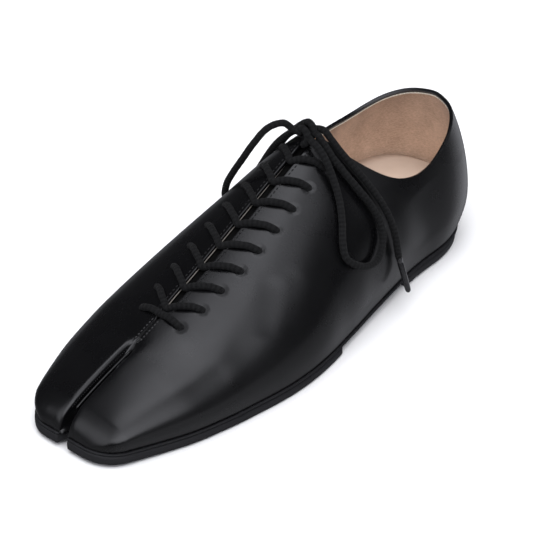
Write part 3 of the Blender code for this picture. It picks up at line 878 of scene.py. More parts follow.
def smoothed(bm: Mesh, levels: int, crease: Callable[[Edge], float]) -> Mesh:
    """A subdivided copy of a mesh, which is then freed.

    Args:
        bm: the mesh.
        levels: how often it is subdivided.
        crease: how sharp an edge stays, from 0 to 1.

    Returns:
        The finer mesh.
    """
    layer = bm.edges.layers.float.get(CREASE_LAYER) or bm.edges.layers.float.new(CREASE_LAYER)
    for edge in bm.edges:
        edge[layer] = crease(edge)
    mesh = bpy.data.meshes.new("coarse")
    bm.to_mesh(mesh)
    bm.free()
    coarse = bpy.data.objects.new("coarse", mesh)
    bpy.context.scene.collection.objects.link(coarse)
    finer = coarse.modifiers.new("finer", "SUBSURF")
    finer.levels = levels
    finer.render_levels = levels
    fine = bmesh.new()
    fine.from_object(coarse, bpy.context.evaluated_depsgraph_get())
    bpy.data.objects.remove(coarse, do_unlink=True)
    bpy.data.meshes.remove(mesh)
    return fine


def fold(edge: Edge) -> float:
    """The angle between an edge's two faces in degrees."""
    return math.degrees(edge.calc_face_angle(0.0))


def new_piece(
    name: str, bm: Mesh, materials: Sequence[Material], slot: Slot, nodes: Sequence[str] = ()
) -> Piece:
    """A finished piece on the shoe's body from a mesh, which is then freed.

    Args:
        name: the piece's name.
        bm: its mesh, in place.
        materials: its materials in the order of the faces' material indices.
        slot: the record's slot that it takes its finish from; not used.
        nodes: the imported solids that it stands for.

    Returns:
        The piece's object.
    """
    mesh = bpy.data.meshes.new(name)
    bm.normal_update()
    bm.to_mesh(mesh)
    bm.free()
    for spare in ("custom_normal", CREASE_LAYER):
        if spare in mesh.attributes:
            mesh.attributes.remove(mesh.attributes[spare])
    for finish in materials:
        mesh.materials.append(finish)
    mesh.shade_smooth()
    made = bpy.data.objects.new(name, mesh)
    bpy.context.scene.collection.objects.link(made)
    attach(made, SHOE)
    if nodes:
        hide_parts(*nodes)
    LOG.info("%s: %d faces", name, len(mesh.polygons))
    return made


def smooth_path(points: Sequence[Vector], spacing: float) -> list[Vector]:
    """Points on a smooth curve through some points.

    Args:
        points: the route's points in metres.
        spacing: about how far apart the result's points are, in millimetres.

    Returns:
        The curve's points in metres.
    """
    knots = [0.0]
    for one, two in zip(points, points[1:]):
        knots.append(knots[-1] + (two - one).length)
    slopes = []
    for index in range(len(points)):
        before = max(index - 1, 0)
        after = min(index + 1, len(points) - 1)
        slopes.append((points[after] - points[before]) / (knots[after] - knots[before]))
    path = []
    for index, (one, two) in enumerate(zip(points, points[1:])):
        span = knots[index + 1] - knots[index]
        steps = max(round(span / (spacing * MM)), 1)
        for step in range(steps):
            t = step / steps
            path.append(
                (2 * t**3 - 3 * t**2 + 1) * one
                + (t**3 - 2 * t**2 + t) * span * slopes[index]
                + (3 * t**2 - 2 * t**3) * two
                + (t**3 - t**2) * span * slopes[index + 1]
            )
    return path + [points[-1].copy()]


def path_length(path: Sequence[Vector]) -> float:
    """The length of a path in metres."""
    return sum((two - one).length for one, two in zip(path, path[1:]))


def nearest_tree(points: Sequence[Vector]) -> KDTree:
    """A tree that finds the nearest of some points.

    Args:
        points: the points in metres.

    Returns:
        The balanced tree.
    """
    tree = KDTree(len(points))
    for index, point in enumerate(points):
        tree.insert(point, index)
    tree.balance()
    return tree


@dataclass(frozen=True)
class BraidedTube:
    """A round lace, cord or welt swept along a path, braided where it has relief."""

    radius: float = LACE_RADIUS
    sides: int = 24
    spacing: float = 0.5
    pitch: float = 4.0
    crowns: float = 6.0
    relief: float = 0.05
    tip: float = 0.8
    tip_least: float = 0.2

    def mesh(self, route: Sequence[Vector]) -> Mesh:
        """Sweeps the lace.

        Args:
            route: the points that it runs through, in metres.

        Returns:
            The closed tube's mesh, with its own UV map along and round it.
        """
        path = smooth_path(route, self.spacing)
        rings = len(path)
        run = [0.0]
        for one, two in zip(path, path[1:]):
            run.append(run[-1] + (two - one).length / MM)
        frames = self.frames(path)
        bm = bmesh.new()
        bmesh.ops.create_grid(bm, x_segments=rings - 1, y_segments=self.sides, size=1.0)
        uv = bm.loops.layers.uv.new(CORD_MAP)
        spots = {}
        for vert in bm.verts:
            ring = round(0.5 * (vert.co.x + 1.0) * (rings - 1))
            turn = 0.5 * (vert.co.y + 1.0)
            spots[vert] = (ring, turn)
        for face in bm.faces:
            for loop in face.loops:
                ring, turn = spots[loop.vert]
                loop[uv].uv = (run[ring] / self.pitch, turn)
        for vert, (ring, turn) in spots.items():
            across, over = frames[ring]
            angle = math.tau * turn
            reach = self.reach(run[ring], run[-1], angle) * MM
            vert.co = path[ring] + reach * (across * math.cos(angle) + over * math.sin(angle))
        bmesh.ops.remove_doubles(bm, verts=bm.verts, dist=WELD)
        bmesh.ops.holes_fill(bm, edges=[edge for edge in bm.edges if edge.is_boundary], sides=0)
        bmesh.ops.recalc_face_normals(bm, faces=bm.faces)
        return bm

    def reach(self, run: float, whole: float, angle: float) -> float:
        """The lace's radius with its braid and rounded tips.

        Args:
            run: how far along the lace the place is, in millimetres.
            whole: the lace's whole length.
            angle: how far round the lace the place is.

        Returns:
            The radius there in millimetres.
        """
        turn = math.tau * run / self.pitch
        crown = max(math.sin(self.crowns * angle + turn), math.sin(self.crowns * angle - turn))
        nearest = min(min(run, whole - run) / self.tip, 1.0)
        tip = max(math.sqrt(1.0 - (1.0 - nearest) ** 2), self.tip_least)
        return tip * (self.radius - self.relief + self.relief * crown)

    def frames(self, path: Sequence[Vector]) -> list[Spot]:
        """Two directions across the path at each of its points, which turn as little as they can.

        Args:
            path: the path's points.

        Returns:
            The two directions for each point.
        """
        frames = []
        across = Vector((0.0, 0.0, 1.0))
        for index in range(len(path)):
            ahead = path[min(index + 1, len(path) - 1)] - path[max(index - 1, 0)]
            ahead.normalize()
            across = across - ahead * across.dot(ahead)
            if across.length < LEAST_ACROSS:
                across = ahead.orthogonal()
            across.normalize()
            frames.append((across.copy(), ahead.cross(across)))
        return frames


# The upper


def straight_below(surface: BVHTree, along: float, side: float) -> Spot:
    """The leather's place and normal straight under a point, without bridging the slit."""
    place, normal, _, _ = surface.ray_cast(Place(along, side, RAY_FROM).metres(), Vector((0.0, 0.0, -1.0)))
    return place, normal


def on_surface(surface: BVHTree, along: float, side: float) -> Spot:
    """The leather's place and normal under a point seen from above.

    Args:
        surface: the shell's faces.
        along: distance from the toe's front in millimetres.
        side: distance from the slit's line in millimetres, over the slit between its two edges.

    Returns:
        The place and the upward normal.
    """
    if abs(side) >= SLIT_REACH:
        return straight_below(surface, along, side)
    outer, inner = (straight_below(surface, along, which.value * SLIT_REACH) for which in Side)
    share = 0.5 + 0.5 * side / SLIT_REACH
    return inner[0].lerp(outer[0], share), inner[1].lerp(outer[1], share).normalized()


@dataclass(frozen=True)
class SoftCrease:
    """A trough, or a ridge where the depth is negative, drawn between two given places."""

    start: Place
    end: Place
    width: float
    depth: float
    fade_power: int = 4

    def push(self, point: Vector) -> float:
        """How far the crease pushes a point of the leather inwards.

        Args:
            point: the point in the frame.

        Returns:
            The push in metres, which fades to both ends and to the sides.
        """
        start = self.start.metres()
        way = self.end.metres() - start
        share = min(max((point - start).dot(way) / way.length_squared, 0.0), 1.0)
        off = (point - start - way * share).length / (self.width * MM)
        fade = 1.0 - (2.0 * share - 1.0) ** self.fade_power
        return fade * self.depth * MM * math.exp(-off * off)


@dataclass
class Upper:
    """The lasted shell: leather outside, lining inside, its rim and the black strip of painted shade under
    its slit.
    """

    levels: int = 2
    rim_fold: float = 55.0
    rim_low: float = 30.0
    rim_start: float = 58.0
    rim_sample: float = 0.5
    foot_high: float = 14.0
    foot_crease: float = 0.9
    core_up: float = 18.0
    core_rear: float = 212.0
    toe_core: Place = Place(22.0, 14.0, 11.0)
    toe_end: float = 46.0
    lining_turn: float = -0.25
    lining_start: float = 14.0
    lined_from: float = 150.0
    lined_to: float = 163.0
    strip_start: float = 58.0
    strip_end: float = 158.0
    strip_half: float = 8.0
    strip_under: float = 2.8
    strip_thick: float = 0.6
    strip_rows: int = 60
    strip_columns: int = 8
    creases: tuple[SoftCrease, ...] = (
        SoftCrease(Place(199.0, 35.0, 46.0), Place(203.0, 36.0, 20.0), 10.0, 0.55),
        SoftCrease(Place(186.0, 35.5, 50.0), Place(180.0, 38.0, 24.0), 9.0, -0.35),
        SoftCrease(Place(176.0, 31.0, 58.0), Place(168.0, 38.0, 30.0), 7.0, 0.35),
        SoftCrease(Place(199.0, -33.0, 48.0), Place(203.0, -33.0, 22.0), 10.0, 0.55),
        SoftCrease(Place(6.0, 19.0, 17.5), Place(70.0, 38.0, 28.5), 5.5, -0.25),
        SoftCrease(Place(6.0, -16.0, 17.5), Place(70.0, -35.0, 28.5), 5.5, -0.25),
        SoftCrease(Place(84.0, 38.0, 30.0), Place(104.0, 26.0, 46.0), 5.0, 0.35),
        SoftCrease(Place(92.0, 41.0, 27.0), Place(114.0, 30.0, 45.0), 5.0, 0.3),
    )
    surface: BVHTree | None = field(default=None, init=False)
    rim: list[Vector] = field(default_factory=list, init=False)

    def build(self, leather: Material, lining: Material) -> Piece:
        """Builds the shell.

        Args:
            leather: the outside's finish.
            lining: the inside's finish.

        Returns:
            The shell's object.
        """
        coarse = merged_copy("upper")
        self.rim = self.inner_rim(coarse)
        bm = smoothed(coarse, self.levels, self.crease)
        bm.normal_update()
        self.shape(bm)
        bm.normal_update()
        self.mark(bm)
        self.surface = BVHTree.FromBMesh(bm)
        return new_piece("upper_shell", bm, (leather, lining), Slot.LEATHER, ("upper",))

    def crease(self, edge: Edge) -> float:
        """How sharp an edge stays: the lower edge keeps its corner, the rim is round."""
        middle = 0.5 * (edge.verts[0].co + edge.verts[1].co)
        return self.foot_crease if fold(edge) > self.rim_fold and middle.z < self.foot_high * MM else 0.0

    def inner_rim(self, bm: Mesh) -> list[Vector]:
        """The rim's inner edge round the collar and the slit.

        Args:
            bm: the shell's coarse mesh.

        Returns:
            The edge as a ring of points.
        """
        links: dict[bmesh.types.BMVert, list[bmesh.types.BMVert]] = {}
        for edge in bm.edges:
            one, two = edge.verts
            middle = 0.5 * (one.co + two.co)
            high = middle.z > self.rim_low * MM and shoe_along(middle) > self.rim_start
            if high and fold(edge) > self.rim_fold:
                links.setdefault(one, []).append(two)
                links.setdefault(two, []).append(one)
        rings = []
        while links:
            here = next(iter(links))
            ring = []
            while here is not None:
                ring.append(here.co.copy())
                nearby = links.pop(here)
                here = next((vert for vert in nearby if vert in links), None)
            rings.append(ring)
        rings.sort(key=len, reverse=True)
        return min(rings[:2], key=path_length)

    def is_lining(self, point: Vector, normal: Vector) -> bool:
        """Whether a face of the shell looks into the shoe.

        Args:
            point: the face's middle.
            normal: where it points.

        Returns:
            True on the lining's side, behind the front of the toe.
        """
        along = shoe_along(point)
        core = Place(min(along, self.core_rear), 0.0, self.core_up)
        if along < self.toe_end:
            sign = math.copysign(1.0, shoe_side(point))
            core = Place(max(along, self.toe_core.along), sign * self.toe_core.side, self.toe_core.up)
        outwards = normal.dot((point - core.metres()).normalized())
        return along > self.lining_start and outwards < self.lining_turn

    def shape(self, bm: Mesh) -> None:
        """Presses the soft creases into both faces of the leather.

        Args:
            bm: the shell's fine mesh.
        """
        pushes = {}
        for vert in bm.verts:
            inwards = 1.0 if self.is_lining(vert.co, vert.normal) else -1.0
            push = sum(crease.push(vert.co) for crease in self.creases)
            pushes[vert] = vert.normal * inwards * push
        for vert, push in pushes.items():
            vert.co += push

    def mark(self, bm: Mesh) -> None:
        """Gives faces their material and vertices their distance from rim and holes.

        Args:
            bm: the shell's shaped mesh.
        """
        rim_tree = nearest_tree(smooth_path(self.rim + self.rim[:1], self.rim_sample))
        hole_tree = nearest_tree(self.holes(BVHTree.FromBMesh(bm)))
        rim_layer = bm.verts.layers.float.new(RIM_LAYER)
        hole_layer = bm.verts.layers.float.new(HOLE_LAYER)
        for vert in bm.verts:
            opened = ease(self.lined_from, self.lined_to, shoe_along(vert.co))
            vert[rim_layer] = opened * rim_tree.find(vert.co)[2] / MM
            vert[hole_layer] = hole_tree.find(vert.co)[2] / MM
        for face in bm.faces:
            face.material_index = int(self.is_lining(face.calc_center_median(), face.normal))

    def holes(self, surface: BVHTree) -> list[Vector]:
        """The punched holes on both sides of the slit.

        Args:
            surface: the shell's faces.

        Returns:
            Each hole's place.
        """
        places = []
        for index, side in enumerate(HOLE_SIDES):
            for which in Side:
                spot = on_surface(surface, HOLE_FIRST + HOLE_PITCH * index, which.value * side)
                places.append(spot[0])
        return places

    def shade_sheet(self, finish: Material) -> Piece:
        """The black strip under the slit: painted shade that keeps the slit's inside dark.

        Args:
            finish: the strip's finish.

        Returns:
            The strip's object.
        """
        bm = bmesh.new()
        bmesh.ops.create_grid(bm, x_segments=self.strip_rows, y_segments=self.strip_columns, size=1.0)
        for vert in bm.verts:
            along = self.strip_start + (self.strip_end - self.strip_start) * 0.5 * (vert.co.x + 1.0)
            place, normal = on_surface(self.surface, along, vert.co.y * self.strip_half)
            vert.co = place - normal * self.strip_under * MM
        bmesh.ops.recalc_face_normals(bm, faces=bm.faces)
        bmesh.ops.solidify(bm, geom=bm.faces[:], thickness=self.strip_thick * MM)
        bmesh.ops.recalc_face_normals(bm, faces=bm.faces)
        return new_piece("slit_shade_sheet", bm, (finish,), Slot.LEATHER)


# Lace


@dataclass
class LacedBars:
    """The bars of lace that hold the slit, each from hole to hole with its bend in the slit."""

    upper: Upper
    tube: BraidedTube = BraidedTube()
    press: float = 0.25
    dive: float = 3.4
    hole_sink: float = 0.4
    lean: float = 1.3
    slit_dip: float = 1.1
    lift_end: float = 0.3
    dip_start: float = 0.55
    steps: int = 5

    def build(self, finish: Material) -> None:
        """Builds the bars from toe to throat.

        Args:
            finish: the lace's finish.
        """
        for index, side in enumerate(HOLE_SIDES):
            route = self.route(HOLE_FIRST + HOLE_PITCH * index, side, BAR_SLANT if index else 0.0)
            name = f"bar_{index + 1}"
            new_piece(name, self.tube.mesh(route), (finish,), Slot.LACE, (f"lace_{name}",))

    def route(self, hole: float, side: float, slant: float) -> list[Vector]:
        """A bar's way: up through a hole, over the leather to the slit, and down the other hole.

        Args:
            hole: how far along the shoe the bar's holes are.
            side: how far out they are.
            slant: how much nearer to the toe its bend is.

        Returns:
            The bar's points in metres.
        """
        strands = []
        for which in Side:
            place, normal = on_surface(self.upper.surface, hole, which.value * side)
            strand = [place - normal * self.dive * MM, place - normal * self.hole_sink * MM]
            for step in range(1, self.steps):
                share = step / self.steps
                off = which.value * (side - self.lean) * (1.0 - share)
                spot, out = on_surface(self.upper.surface, hole - slant * share, off)
                lift = (LACE_RADIUS - self.press) * ease(0.0, self.lift_end, share)
                dip = self.slit_dip * ease(self.dip_start, 1.0, share)
                strand.append(spot + out * (lift - dip) * MM)
            strands.append(strand)
        apex, out = on_surface(self.upper.surface, hole - slant, 0.0)
        middle = apex + out * (LACE_RADIUS - self.press - self.slit_dip) * MM
        return strands[0] + [middle] + strands[1][::-1]


@dataclass
class Bow:
    """The knot over the throat with a loop and a tagged end to each side."""

    tube: BraidedTube = BraidedTube()
    knot_along: float = 154.9
    knot_up: float = 84.3
    knot_radius: float = 2.9
    knot_turns: float = 2.0
    knot_pitch: float = 3.9
    knot_steps: int = 32
    ridge_slope: float = 0.42
    core_side: float = 1.0
    path_spacing: float = 1.0
    aglet_radius: float = 1.4
    aglet_sides: int = 28
    # How much thinner than full an aglet is, at distances from its start and back from its tip
    aglet_collar: Profile = ((0.25, -0.6), (0.0, -0.2), (0.0, 1.6), (0.22, 1.9), (0.22, 2.5), (0.0, 2.8))
    aglet_tip: Profile = ((0.05, 2.0), (0.25, 0.7), (0.65, 0.15))

    def build(self, lace: Material, plastic: Material) -> None:
        """Builds knot, loops, ends and aglets.

        Args:
            lace: the lace's finish.
            plastic: the aglets' finish.
        """
        self.cord("knot", self.knot_route(), lace, FarEnd.OBJECT, Lay.TAUT)
        loops = {Side.LATERAL: LOOP_LATERAL, Side.MEDIAL: LOOP_MEDIAL}
        for side, places in loops.items():
            route = [self.core(places[0]), *(place.metres() for place in places), self.core(places[-1])]
            self.cord(f"loop_{side.label()}", route, lace, FarEnd.KNOT, Lay.HANGING)
        ends = {Side.LATERAL: (END_LATERAL, AGLET_LATERAL), Side.MEDIAL: (END_MEDIAL, AGLET_MEDIAL)}
        for side, (places, tag) in ends.items():
            aglet = self.aglet(f"aglet_{side.label()}", tag, plastic)
            route = [self.core(places[0]), *(place.metres() for place in places), tag[0].metres()]
            self.cord(f"end_{side.label()}", route, lace, FarEnd.FITTING, Lay.HANGING, [aglet])

    def cord(
        self,
        name: str,
        route: Sequence[Vector],
        finish: Material,
        far_end: FarEnd,
        lay: Lay,
        tags: Sequence[Piece] = (),
    ) -> None:
        """Builds one free cord of the bow and logs its length.

        Args:
            name: what its piece's and its solid's names end with.
            route: the points that it runs through.
            finish: the lace's finish.
            far_end: what its far end is; not used.
            lay: how it lies; not used.
            tags: the separate pieces on it; not used.
        """
        made = new_piece(f"bow_{name}", self.tube.mesh(route), (finish,), Slot.LACE, (f"lace_{name}",))
        path = smooth_path(route, self.path_spacing)
        length = path_length(path)
        LOG.info("%s: %.1f mm of lace", made.name, length / MM)
        tuple(path[0])
        [tuple(point) for point in path]

    def core(self, place: Place) -> Vector:
        """The point inside the knot where a strand comes from.

        Args:
            place: the strand's first place outside the knot.

        Returns:
            The point in metres.
        """
        side = math.copysign(self.core_side, place.side)
        along = 0.5 * (place.along + self.knot_along)
        return Place(along, side, self.ridge_up(along)).metres()

    def ridge_up(self, along: float) -> float:
        """How high the knot's middle line is, as it follows the slope of the instep."""
        return self.knot_up + (along - self.knot_along) * self.ridge_slope

    def knot_route(self) -> list[Vector]:
        """Turns of lace wound round the line of the slit.

        Returns:
            The route's points in metres.
        """
        route = []
        for step in range(self.knot_steps + 1):
            turned = step / self.knot_steps
            angle = math.tau * self.knot_turns * turned
            along = self.knot_along + self.knot_pitch * self.knot_turns * (turned - 0.5)
            up = self.ridge_up(along) - self.knot_radius * math.cos(angle)
            route.append(Place(along, self.knot_radius * math.sin(angle), up).metres())
        return route

    def aglet(self, name: str, tag: tuple[Place, Place], finish: Material) -> Piece:
        """A crimped plastic tag between two places.

        Args:
            name: its solid's name, which its piece's name ends with.
            tag: where it starts on the lace and where its tip is.
            finish: the plastic.

        Returns:
            The aglet's object.
        """
        start, tip = (place.metres() for place in tag)
        length = (tip - start).length / MM
        profile = [(0.0, self.aglet_collar[0][1])]
        profile += [(self.aglet_radius - thinner, at) for thinner, at in self.aglet_collar]
        profile += [(self.aglet_radius - thinner, length - back) for thinner, back in self.aglet_tip]
        profile.append((0.0, length))
        bm = bmesh.new()
        verts = [bm.verts.new((radius * MM, 0.0, up * MM)) for radius, up in profile]
        edges = [bm.edges.new(pair) for pair in zip(verts, verts[1:])]
        bmesh.ops.spin(
            bm,
            geom=verts + edges,
            cent=(0.0, 0.0, 0.0),
            axis=(0.0, 0.0, 1.0),
            angle=math.tau,
            steps=self.aglet_sides,
            use_merge=True,
        )
        bmesh.ops.remove_doubles(bm, verts=bm.verts, dist=WELD)
        bmesh.ops.recalc_face_normals(bm, faces=bm.faces)
        turn = (tip - start).to_track_quat("Z", "Y").to_matrix().to_4x4()
        bmesh.ops.transform(bm, matrix=Matrix.Translation(start) @ turn, verts=bm.verts)
        return new_piece(f"bow_{name}", bm, (finish,), Slot.AGLET, (name,))


# Sole, heel and footbed


@dataclass
class Bottom:
    """The thin sole, the forefoot rubber, the heel and the footbed."""

    levels: int = 2
    edge_fold: float = 50.0
    edge_crease: float = 0.82
    footbed_crease: float = 0.6

    def build(self) -> None:
        """Builds the four layers."""
        rubbers = (
            ("thin_sole", "sole", "sole_edge_rubber"),
            ("forefoot_rubber", "forefoot_sole", "forefoot_rubber"),
            ("heel_block", "heel", "heel_rubber"),
        )
        for name, node, finish in rubbers:
            self.layer(name, node, MatteFinish(finish), self.edge_crease, Slot.RUBBER)
        self.layer("footbed", "insole", FootbedFinish(), self.footbed_crease, Slot.INSOLE)

    def layer(self, name: str, node: str, finish: Finish, crease: float, slot: Slot) -> None:
        """One layer, smooth in its outline and nearly sharp at its edges.

        Args:
            name: the piece's name.
            node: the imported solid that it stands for.
            finish: its finish.
            crease: how sharp its edges stay.
            slot: the record's slot.
        """
        coarse = merged_copy(node)
        fine = smoothed(coarse, self.levels, lambda edge: crease if fold(edge) > self.edge_fold else 0.0)
        new_piece(name, fine, (finish.material(),), slot, (node,))


# Stitches


@dataclass(frozen=True)
class Stitch:
    """One stitch's size in millimetres and the pitch of its row."""

    length: float
    width: float
    pitch: float
    lift: float = 0.1
    facets: int = 6


@dataclass
class Stitching:
    """Rows of stitches, the welt and the lining's folds, sewn on the finished upper."""

    upper: Upper
    edge_stitch: Stitch = Stitch(1.6, 0.55, 2.2)
    seam_stitch: Stitch = Stitch(1.3, 0.6, 1.8)
    collar_stitch: Stitch = Stitch(1.3, 0.55, 1.7)
    cleft_stitch: Stitch = Stitch(0.75, 0.4, 1.15)
    tack_stitch: Stitch = Stitch(2.6, 0.4, 0.55)
    longest_step: float = 4.0
    slit_start: float = 61.0
    slit_end: float = 156.0
    slit_side: float = 3.7
    seam_start: float = 47.5
    seam_end: float = 59.0
    seam_side: float = 1.5
    collar_drop: float = 1.7
    collar_start: float = 164.0
    collar_sample: float = 1.0
    cleft_start: float = 9.0
    cleft_end: float = 43.5
    cleft_drop: float = 1.9
    lip_side: float = 4.2
    welt_drop: float = 2.3
    welt_tube: BraidedTube = BraidedTube(radius=0.6, sides=10, spacing=1.0, relief=0.0)
    tack_start: float = 46.2
    tack_end: float = 48.0
    fold_tube: BraidedTube = BraidedTube(radius=0.28, sides=8, spacing=1.0, relief=0.0)
    fold_start: float = 64.0
    fold_end: float = 150.0
    fold_drop: float = 1.3

    def build(self) -> None:
        """Sews all the rows."""
        dark = EDGE_THREAD.material()
        grey = SEAM_THREAD.material()
        cream = COLLAR_THREAD.material()
        for which in Side:
            label = which.label()
            edge = self.line(self.slit_start, self.slit_end, which.value * self.slit_side)
            self.row(f"slit_stitches_{label}", edge, self.edge_stitch, dark)
            seam = self.line(self.seam_start, self.seam_end, which.value * self.seam_side)
            self.row(f"seam_stitches_{label}", seam, self.seam_stitch, grey)
            cleft = self.gap_wall(which, self.cleft_start, self.cleft_end, self.cleft_drop)
            self.row(f"cleft_stitches_{label}", cleft, self.cleft_stitch, dark)
        self.row("collar_stitches", self.collar(), self.collar_stitch, cream)
        self.bar_tack(grey)

    def gap_wall(self, which: Side, first: float, last: float, drop: float) -> list[Spot]:
        """Places and normals on one inner wall of the split toe or the slit.

        Args:
            which: the wall's side.
            first: where the line starts along the shoe, in millimetres.
            last: where it ends.
            drop: how far it is below the leather.

        Returns:
            The places and normals, a millimetre apart.
        """
        spots = []
        outwards = Vector((which.value, 0.0, 0.0))
        for step in range(round(last - first) + 1):
            middle = self.gap_middle(first + step, drop)
            place, normal, _, _ = self.upper.surface.ray_cast(middle, outwards)
            spots.append((place, normal))
        return spots

    def gap_middle(self, along: float, drop: float) -> Vector:
        """The point between the two edges of the split toe or the slit.

        Args:
            along: how far along the shoe it is.
            drop: how many millimetres it is below the lower edge.

        Returns:
            The point in metres.
        """
        lips = [straight_below(self.upper.surface, along, which.value * self.lip_side) for which in Side]
        middle = Place(along, 0.0).metres()
        middle.z = min(place.z for place, _ in lips) - drop * MM
        return middle

    def bar_tack(self, finish: Material) -> None:
        """A few stitches across the seam where the split toe ends.

        Args:
            finish: the thread.
        """
        bm = bmesh.new()
        count = round((self.tack_end - self.tack_start) / self.tack_stitch.pitch)
        for step in range(count + 1):
            along = self.tack_start + step * self.tack_stitch.pitch
            spot = straight_below(self.upper.surface, along, 0.0)
            self.sew(bm, spot, Vector((1.0, 0.0, 0.0)), self.tack_stitch)
        new_piece("cleft_tack", bm, (finish,), Slot.LEATHER)

    def welt(self, finish: Material) -> Piece:
        """The raised seam that runs between the split toe's lips.

        Args:
            finish: the leather.

        Returns:
            The seam's object.
        """
        count = round(self.cleft_end - self.cleft_start)
        route = [self.gap_middle(self.cleft_start + step, self.welt_drop) for step in range(count + 1)]
        return new_piece("cleft_welt", self.welt_tube.mesh(route), (finish,), Slot.LEATHER)

    def slit_edges(self, finish: Material) -> None:
        """The lining's fold along both edges of the slit, whose pale grey line is partly the lining's edge
        and partly a painted highlight on the edge.

        Args:
            finish: the lining's edge.
        """
        for which in Side:
            wall = self.gap_wall(which, self.fold_start, self.fold_end, self.fold_drop)
            tube = self.fold_tube.mesh([place for place, _ in wall])
            new_piece(f"slit_edge_{which.label()}", tube, (finish,), Slot.LEATHER)

    def line(self, start: float, end: float, side: float) -> list[Spot]:
        """Places and normals on the leather along a line beside the slit.

        Args:
            start: where the line starts along the shoe, in millimetres.
            end: where it ends.
            side: how far out it is.

        Returns:
            The places and normals, about a millimetre apart.
        """
        count = round(end - start)
        steps = [start + (end - start) * step / count for step in range(count + 1)]
        return [straight_below(self.upper.surface, along, side) for along in steps]

    def collar(self) -> list[Spot]:
        """Places and normals on the lining just under the rim.

        Returns:
            The places and normals, about a millimetre apart.
        """
        spots = []
        for point in smooth_path(self.upper.rim, self.collar_sample):
            if shoe_along(point) < self.collar_start:
                continue
            below = point - Vector((0.0, 0.0, self.collar_drop * MM))
            place, normal, _, _ = self.upper.surface.find_nearest(below)
            spots.append((place, normal))
        return spots

    def row(self, name: str, line: Sequence[Spot], stitch: Stitch, finish: Material) -> None:
        """One row of stitches along a line.

        Args:
            name: the piece's name.
            line: places and normals on the surface, close together.
            stitch: the stitch's size and pitch.
            finish: the thread.
        """
        bm = bmesh.new()
        run = 0.0
        due = 0.0
        for (one, normal), (two, _) in zip(line, line[1:]):
            step = (two - one).length / MM
            while 0.0 < step < self.longest_step * stitch.pitch and due < run + step:
                place = one.lerp(two, (due - run) / step)
                self.sew(bm, (place, normal), (two - one).normalized(), stitch)
                due += stitch.pitch
            run += step
            due = max(due, run)
        new_piece(name, bm, (finish,), Slot.LEATHER)

    def sew(self, bm: Mesh, spot: Spot, ahead: Vector, stitch: Stitch) -> None:
        """Adds one stitch, half sunk in the leather.

        Args:
            bm: the row's mesh.
            spot: the stitch's place and the leather's normal there.
            ahead: the direction of its length.
            stitch: its size.
        """
        place, normal = spot
        across = normal.cross(ahead).normalized()
        over = ahead.cross(across)
        turn = Matrix((ahead, across, over)).transposed().to_4x4()
        half = Vector((stitch.length, stitch.width, stitch.width)) * 0.5 * MM
        lifted = Matrix.Translation(place + normal * stitch.lift * MM)
        bmesh.ops.create_uvsphere(
            bm,
            u_segments=stitch.facets,
            v_segments=stitch.facets,
            radius=1.0,
            matrix=lifted @ turn @ Matrix.Diagonal(half).to_4x4(),
        )


# Studio


def direction(azimuth: float, elevation: float) -> Vector:
    """A direction from the shoe; azimuth turns from the heel towards the outside, in degrees.

    Args:
        azimuth: the angle on the floor.
        elevation: the angle over the floor.

    Returns:
        The direction.
    """
    turn = math.radians(azimuth)
    rise = math.radians(elevation)
    level = math.cos(rise)
    return Vector((level * math.sin(turn), level * math.cos(turn), math.sin(rise)))


@dataclass(frozen=True)
class Glow:
    """A soft patch of light in the studio's surroundings, seen from the shoe."""

    azimuth: float
    elevation: float
    inner: float
    outer: float
    bright: float


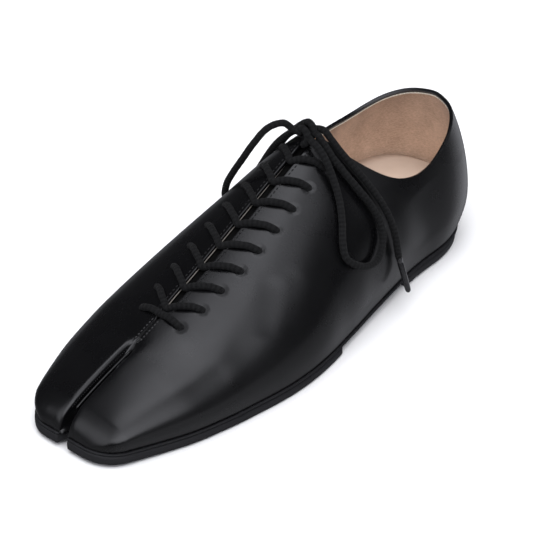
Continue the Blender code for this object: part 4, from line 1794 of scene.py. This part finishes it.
@dataclass
class Studio:
    """Pale floor, soft light from above and the photograph's camera."""

    azimuth: float = 136.30
    elevation: float = 34.20
    distance: float = 1.3747
    photo_aim: Place = Place(147.7, -70.5, 0.0)
    aim: Place = Place(124.0, 4.0, 31.0)
    lens: float = 201.0
    sensor: float = 36.0
    floor_size: float = 8.0
    ambient: float = 0.035
    below: float = 0.15
    below_fade: float = 0.25
    glows: tuple[Glow, ...] = (
        Glow(-25.0, 83.0, 6.0, 19.0, 2.0),
        Glow(126.0, 50.0, 10.0, 39.0, 1.9),
        Glow(-162.0, 32.0, 10.0, 36.0, 1.0),
        Glow(95.0, 5.0, 0.0, 45.0, 0.09),
        Glow(4.0, -20.0, 6.0, 28.0, 0.38),
        Glow(22.0, 24.0, 0.0, 28.0, 0.2),
        Glow(92.0, -40.0, 0.0, 52.0, 0.1),
    )
    tint: Colour = (0.965, 0.975, 1.045)
    fill_size: float = 3.0
    fill_place: Triple = (0.3, -0.2, 2.2)
    fill_power: float = 78.0

    def build(self) -> None:
        """Builds floor, light and camera."""
        self.camera()
        self.floor()
        self.surroundings()
        self.fill_light()
        bpy.context.scene.view_settings.view_transform = "Standard"

    def camera(self) -> None:
        """The photograph's viewpoint, turned to the shoe."""
        data = bpy.data.cameras.new("camera")
        data.sensor_width = self.sensor
        data.lens = self.lens
        camera = bpy.data.objects.new("camera", data)
        bpy.context.scene.collection.objects.link(camera)
        camera.location = self.photo_aim.metres() + direction(self.azimuth, self.elevation) * self.distance
        sight = self.aim.metres() - camera.location
        camera.rotation_euler = sight.to_track_quat("-Z", "Y").to_euler()
        bpy.context.scene.camera = camera

    def floor(self) -> None:
        """A plain pale floor that stays out of the leather's reflections."""
        bm = bmesh.new()
        bmesh.ops.create_grid(bm, x_segments=1, y_segments=1, size=0.5 * self.floor_size)
        mesh = bpy.data.meshes.new("floor")
        bm.to_mesh(mesh)
        bm.free()
        mesh.materials.append(FloorFinish().material())
        floor = bpy.data.objects.new("floor", mesh)
        bpy.context.scene.collection.objects.link(floor)
        floor.visible_glossy = False
        floor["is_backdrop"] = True

    def surroundings(self) -> None:
        """A dim world with a few soft bright patches."""
        world = bpy.data.worlds.new("studio")
        world.use_nodes = True
        bpy.context.scene.world = world
        sheet = NodeSheet(world.node_tree)
        background = world.node_tree.nodes["Background"]
        way = sheet.add("ShaderNodeTexCoord").outputs["Generated"]
        height = sheet.axes(way)["Z"]
        light = sheet.between(height, -self.below_fade, 0.0, self.ambient + self.below, self.ambient)
        for glow in self.glows:
            middle = direction(glow.azimuth, glow.elevation)
            facing = sheet.add("ShaderNodeVectorMath", {0: way, 1: middle}, operation="DOT_PRODUCT")
            outer = math.cos(math.radians(glow.outer))
            inner = math.cos(math.radians(glow.inner))
            patch = sheet.between(facing.outputs["Value"], outer, inner, 0.0, glow.bright)
            light = sheet.maths("ADD", light, patch)
        sheet.fill(background, {"Color": opaque(self.tint), "Strength": light})

    def fill_light(self) -> None:
        """A wide light overhead that brightens what is dull and leaves no reflection."""
        data = bpy.data.lights.new("fill", "AREA")
        data.size = self.fill_size
        data.energy = self.fill_power
        lamp = bpy.data.objects.new("fill", data)
        bpy.context.scene.collection.objects.link(lamp)
        lamp.location = self.fill_place
        lamp.visible_glossy = False
        lamp.visible_camera = False


def write_sizes() -> None:
    """Works out the solids' box and the dressed shoe's box."""
    boxes = {"cad": CAD_BOX, "visual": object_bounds()}
    {name: [list(corner) for corner in box] for name, box in boxes.items()}


def main() -> None:
    """Builds the shoe's pieces in order."""
    logging.basicConfig(level=logging.INFO, format="%(name)s %(message)s")
    Studio().build()
    lace = LaceFinish().material()
    Bow().build(lace, AgletFinish().material())
    upper = Upper()
    leather = LeatherFinish().material()
    upper.build(leather, LiningFinish().material())
    # The black strip under the slit is painted shade for the slit's dark inside
    upper.shade_sheet(SLIT_PAINTED_SHADE.material())
    LacedBars(upper).build(lace)
    Bottom().build()
    stitching = Stitching(upper)
    stitching.build()
    stitching.welt(leather)
    stitching.slit_edges(LINING_FOLD_AND_HIGHLIGHT.material())
    write_sizes()


if __name__ == "__main__":
    main()
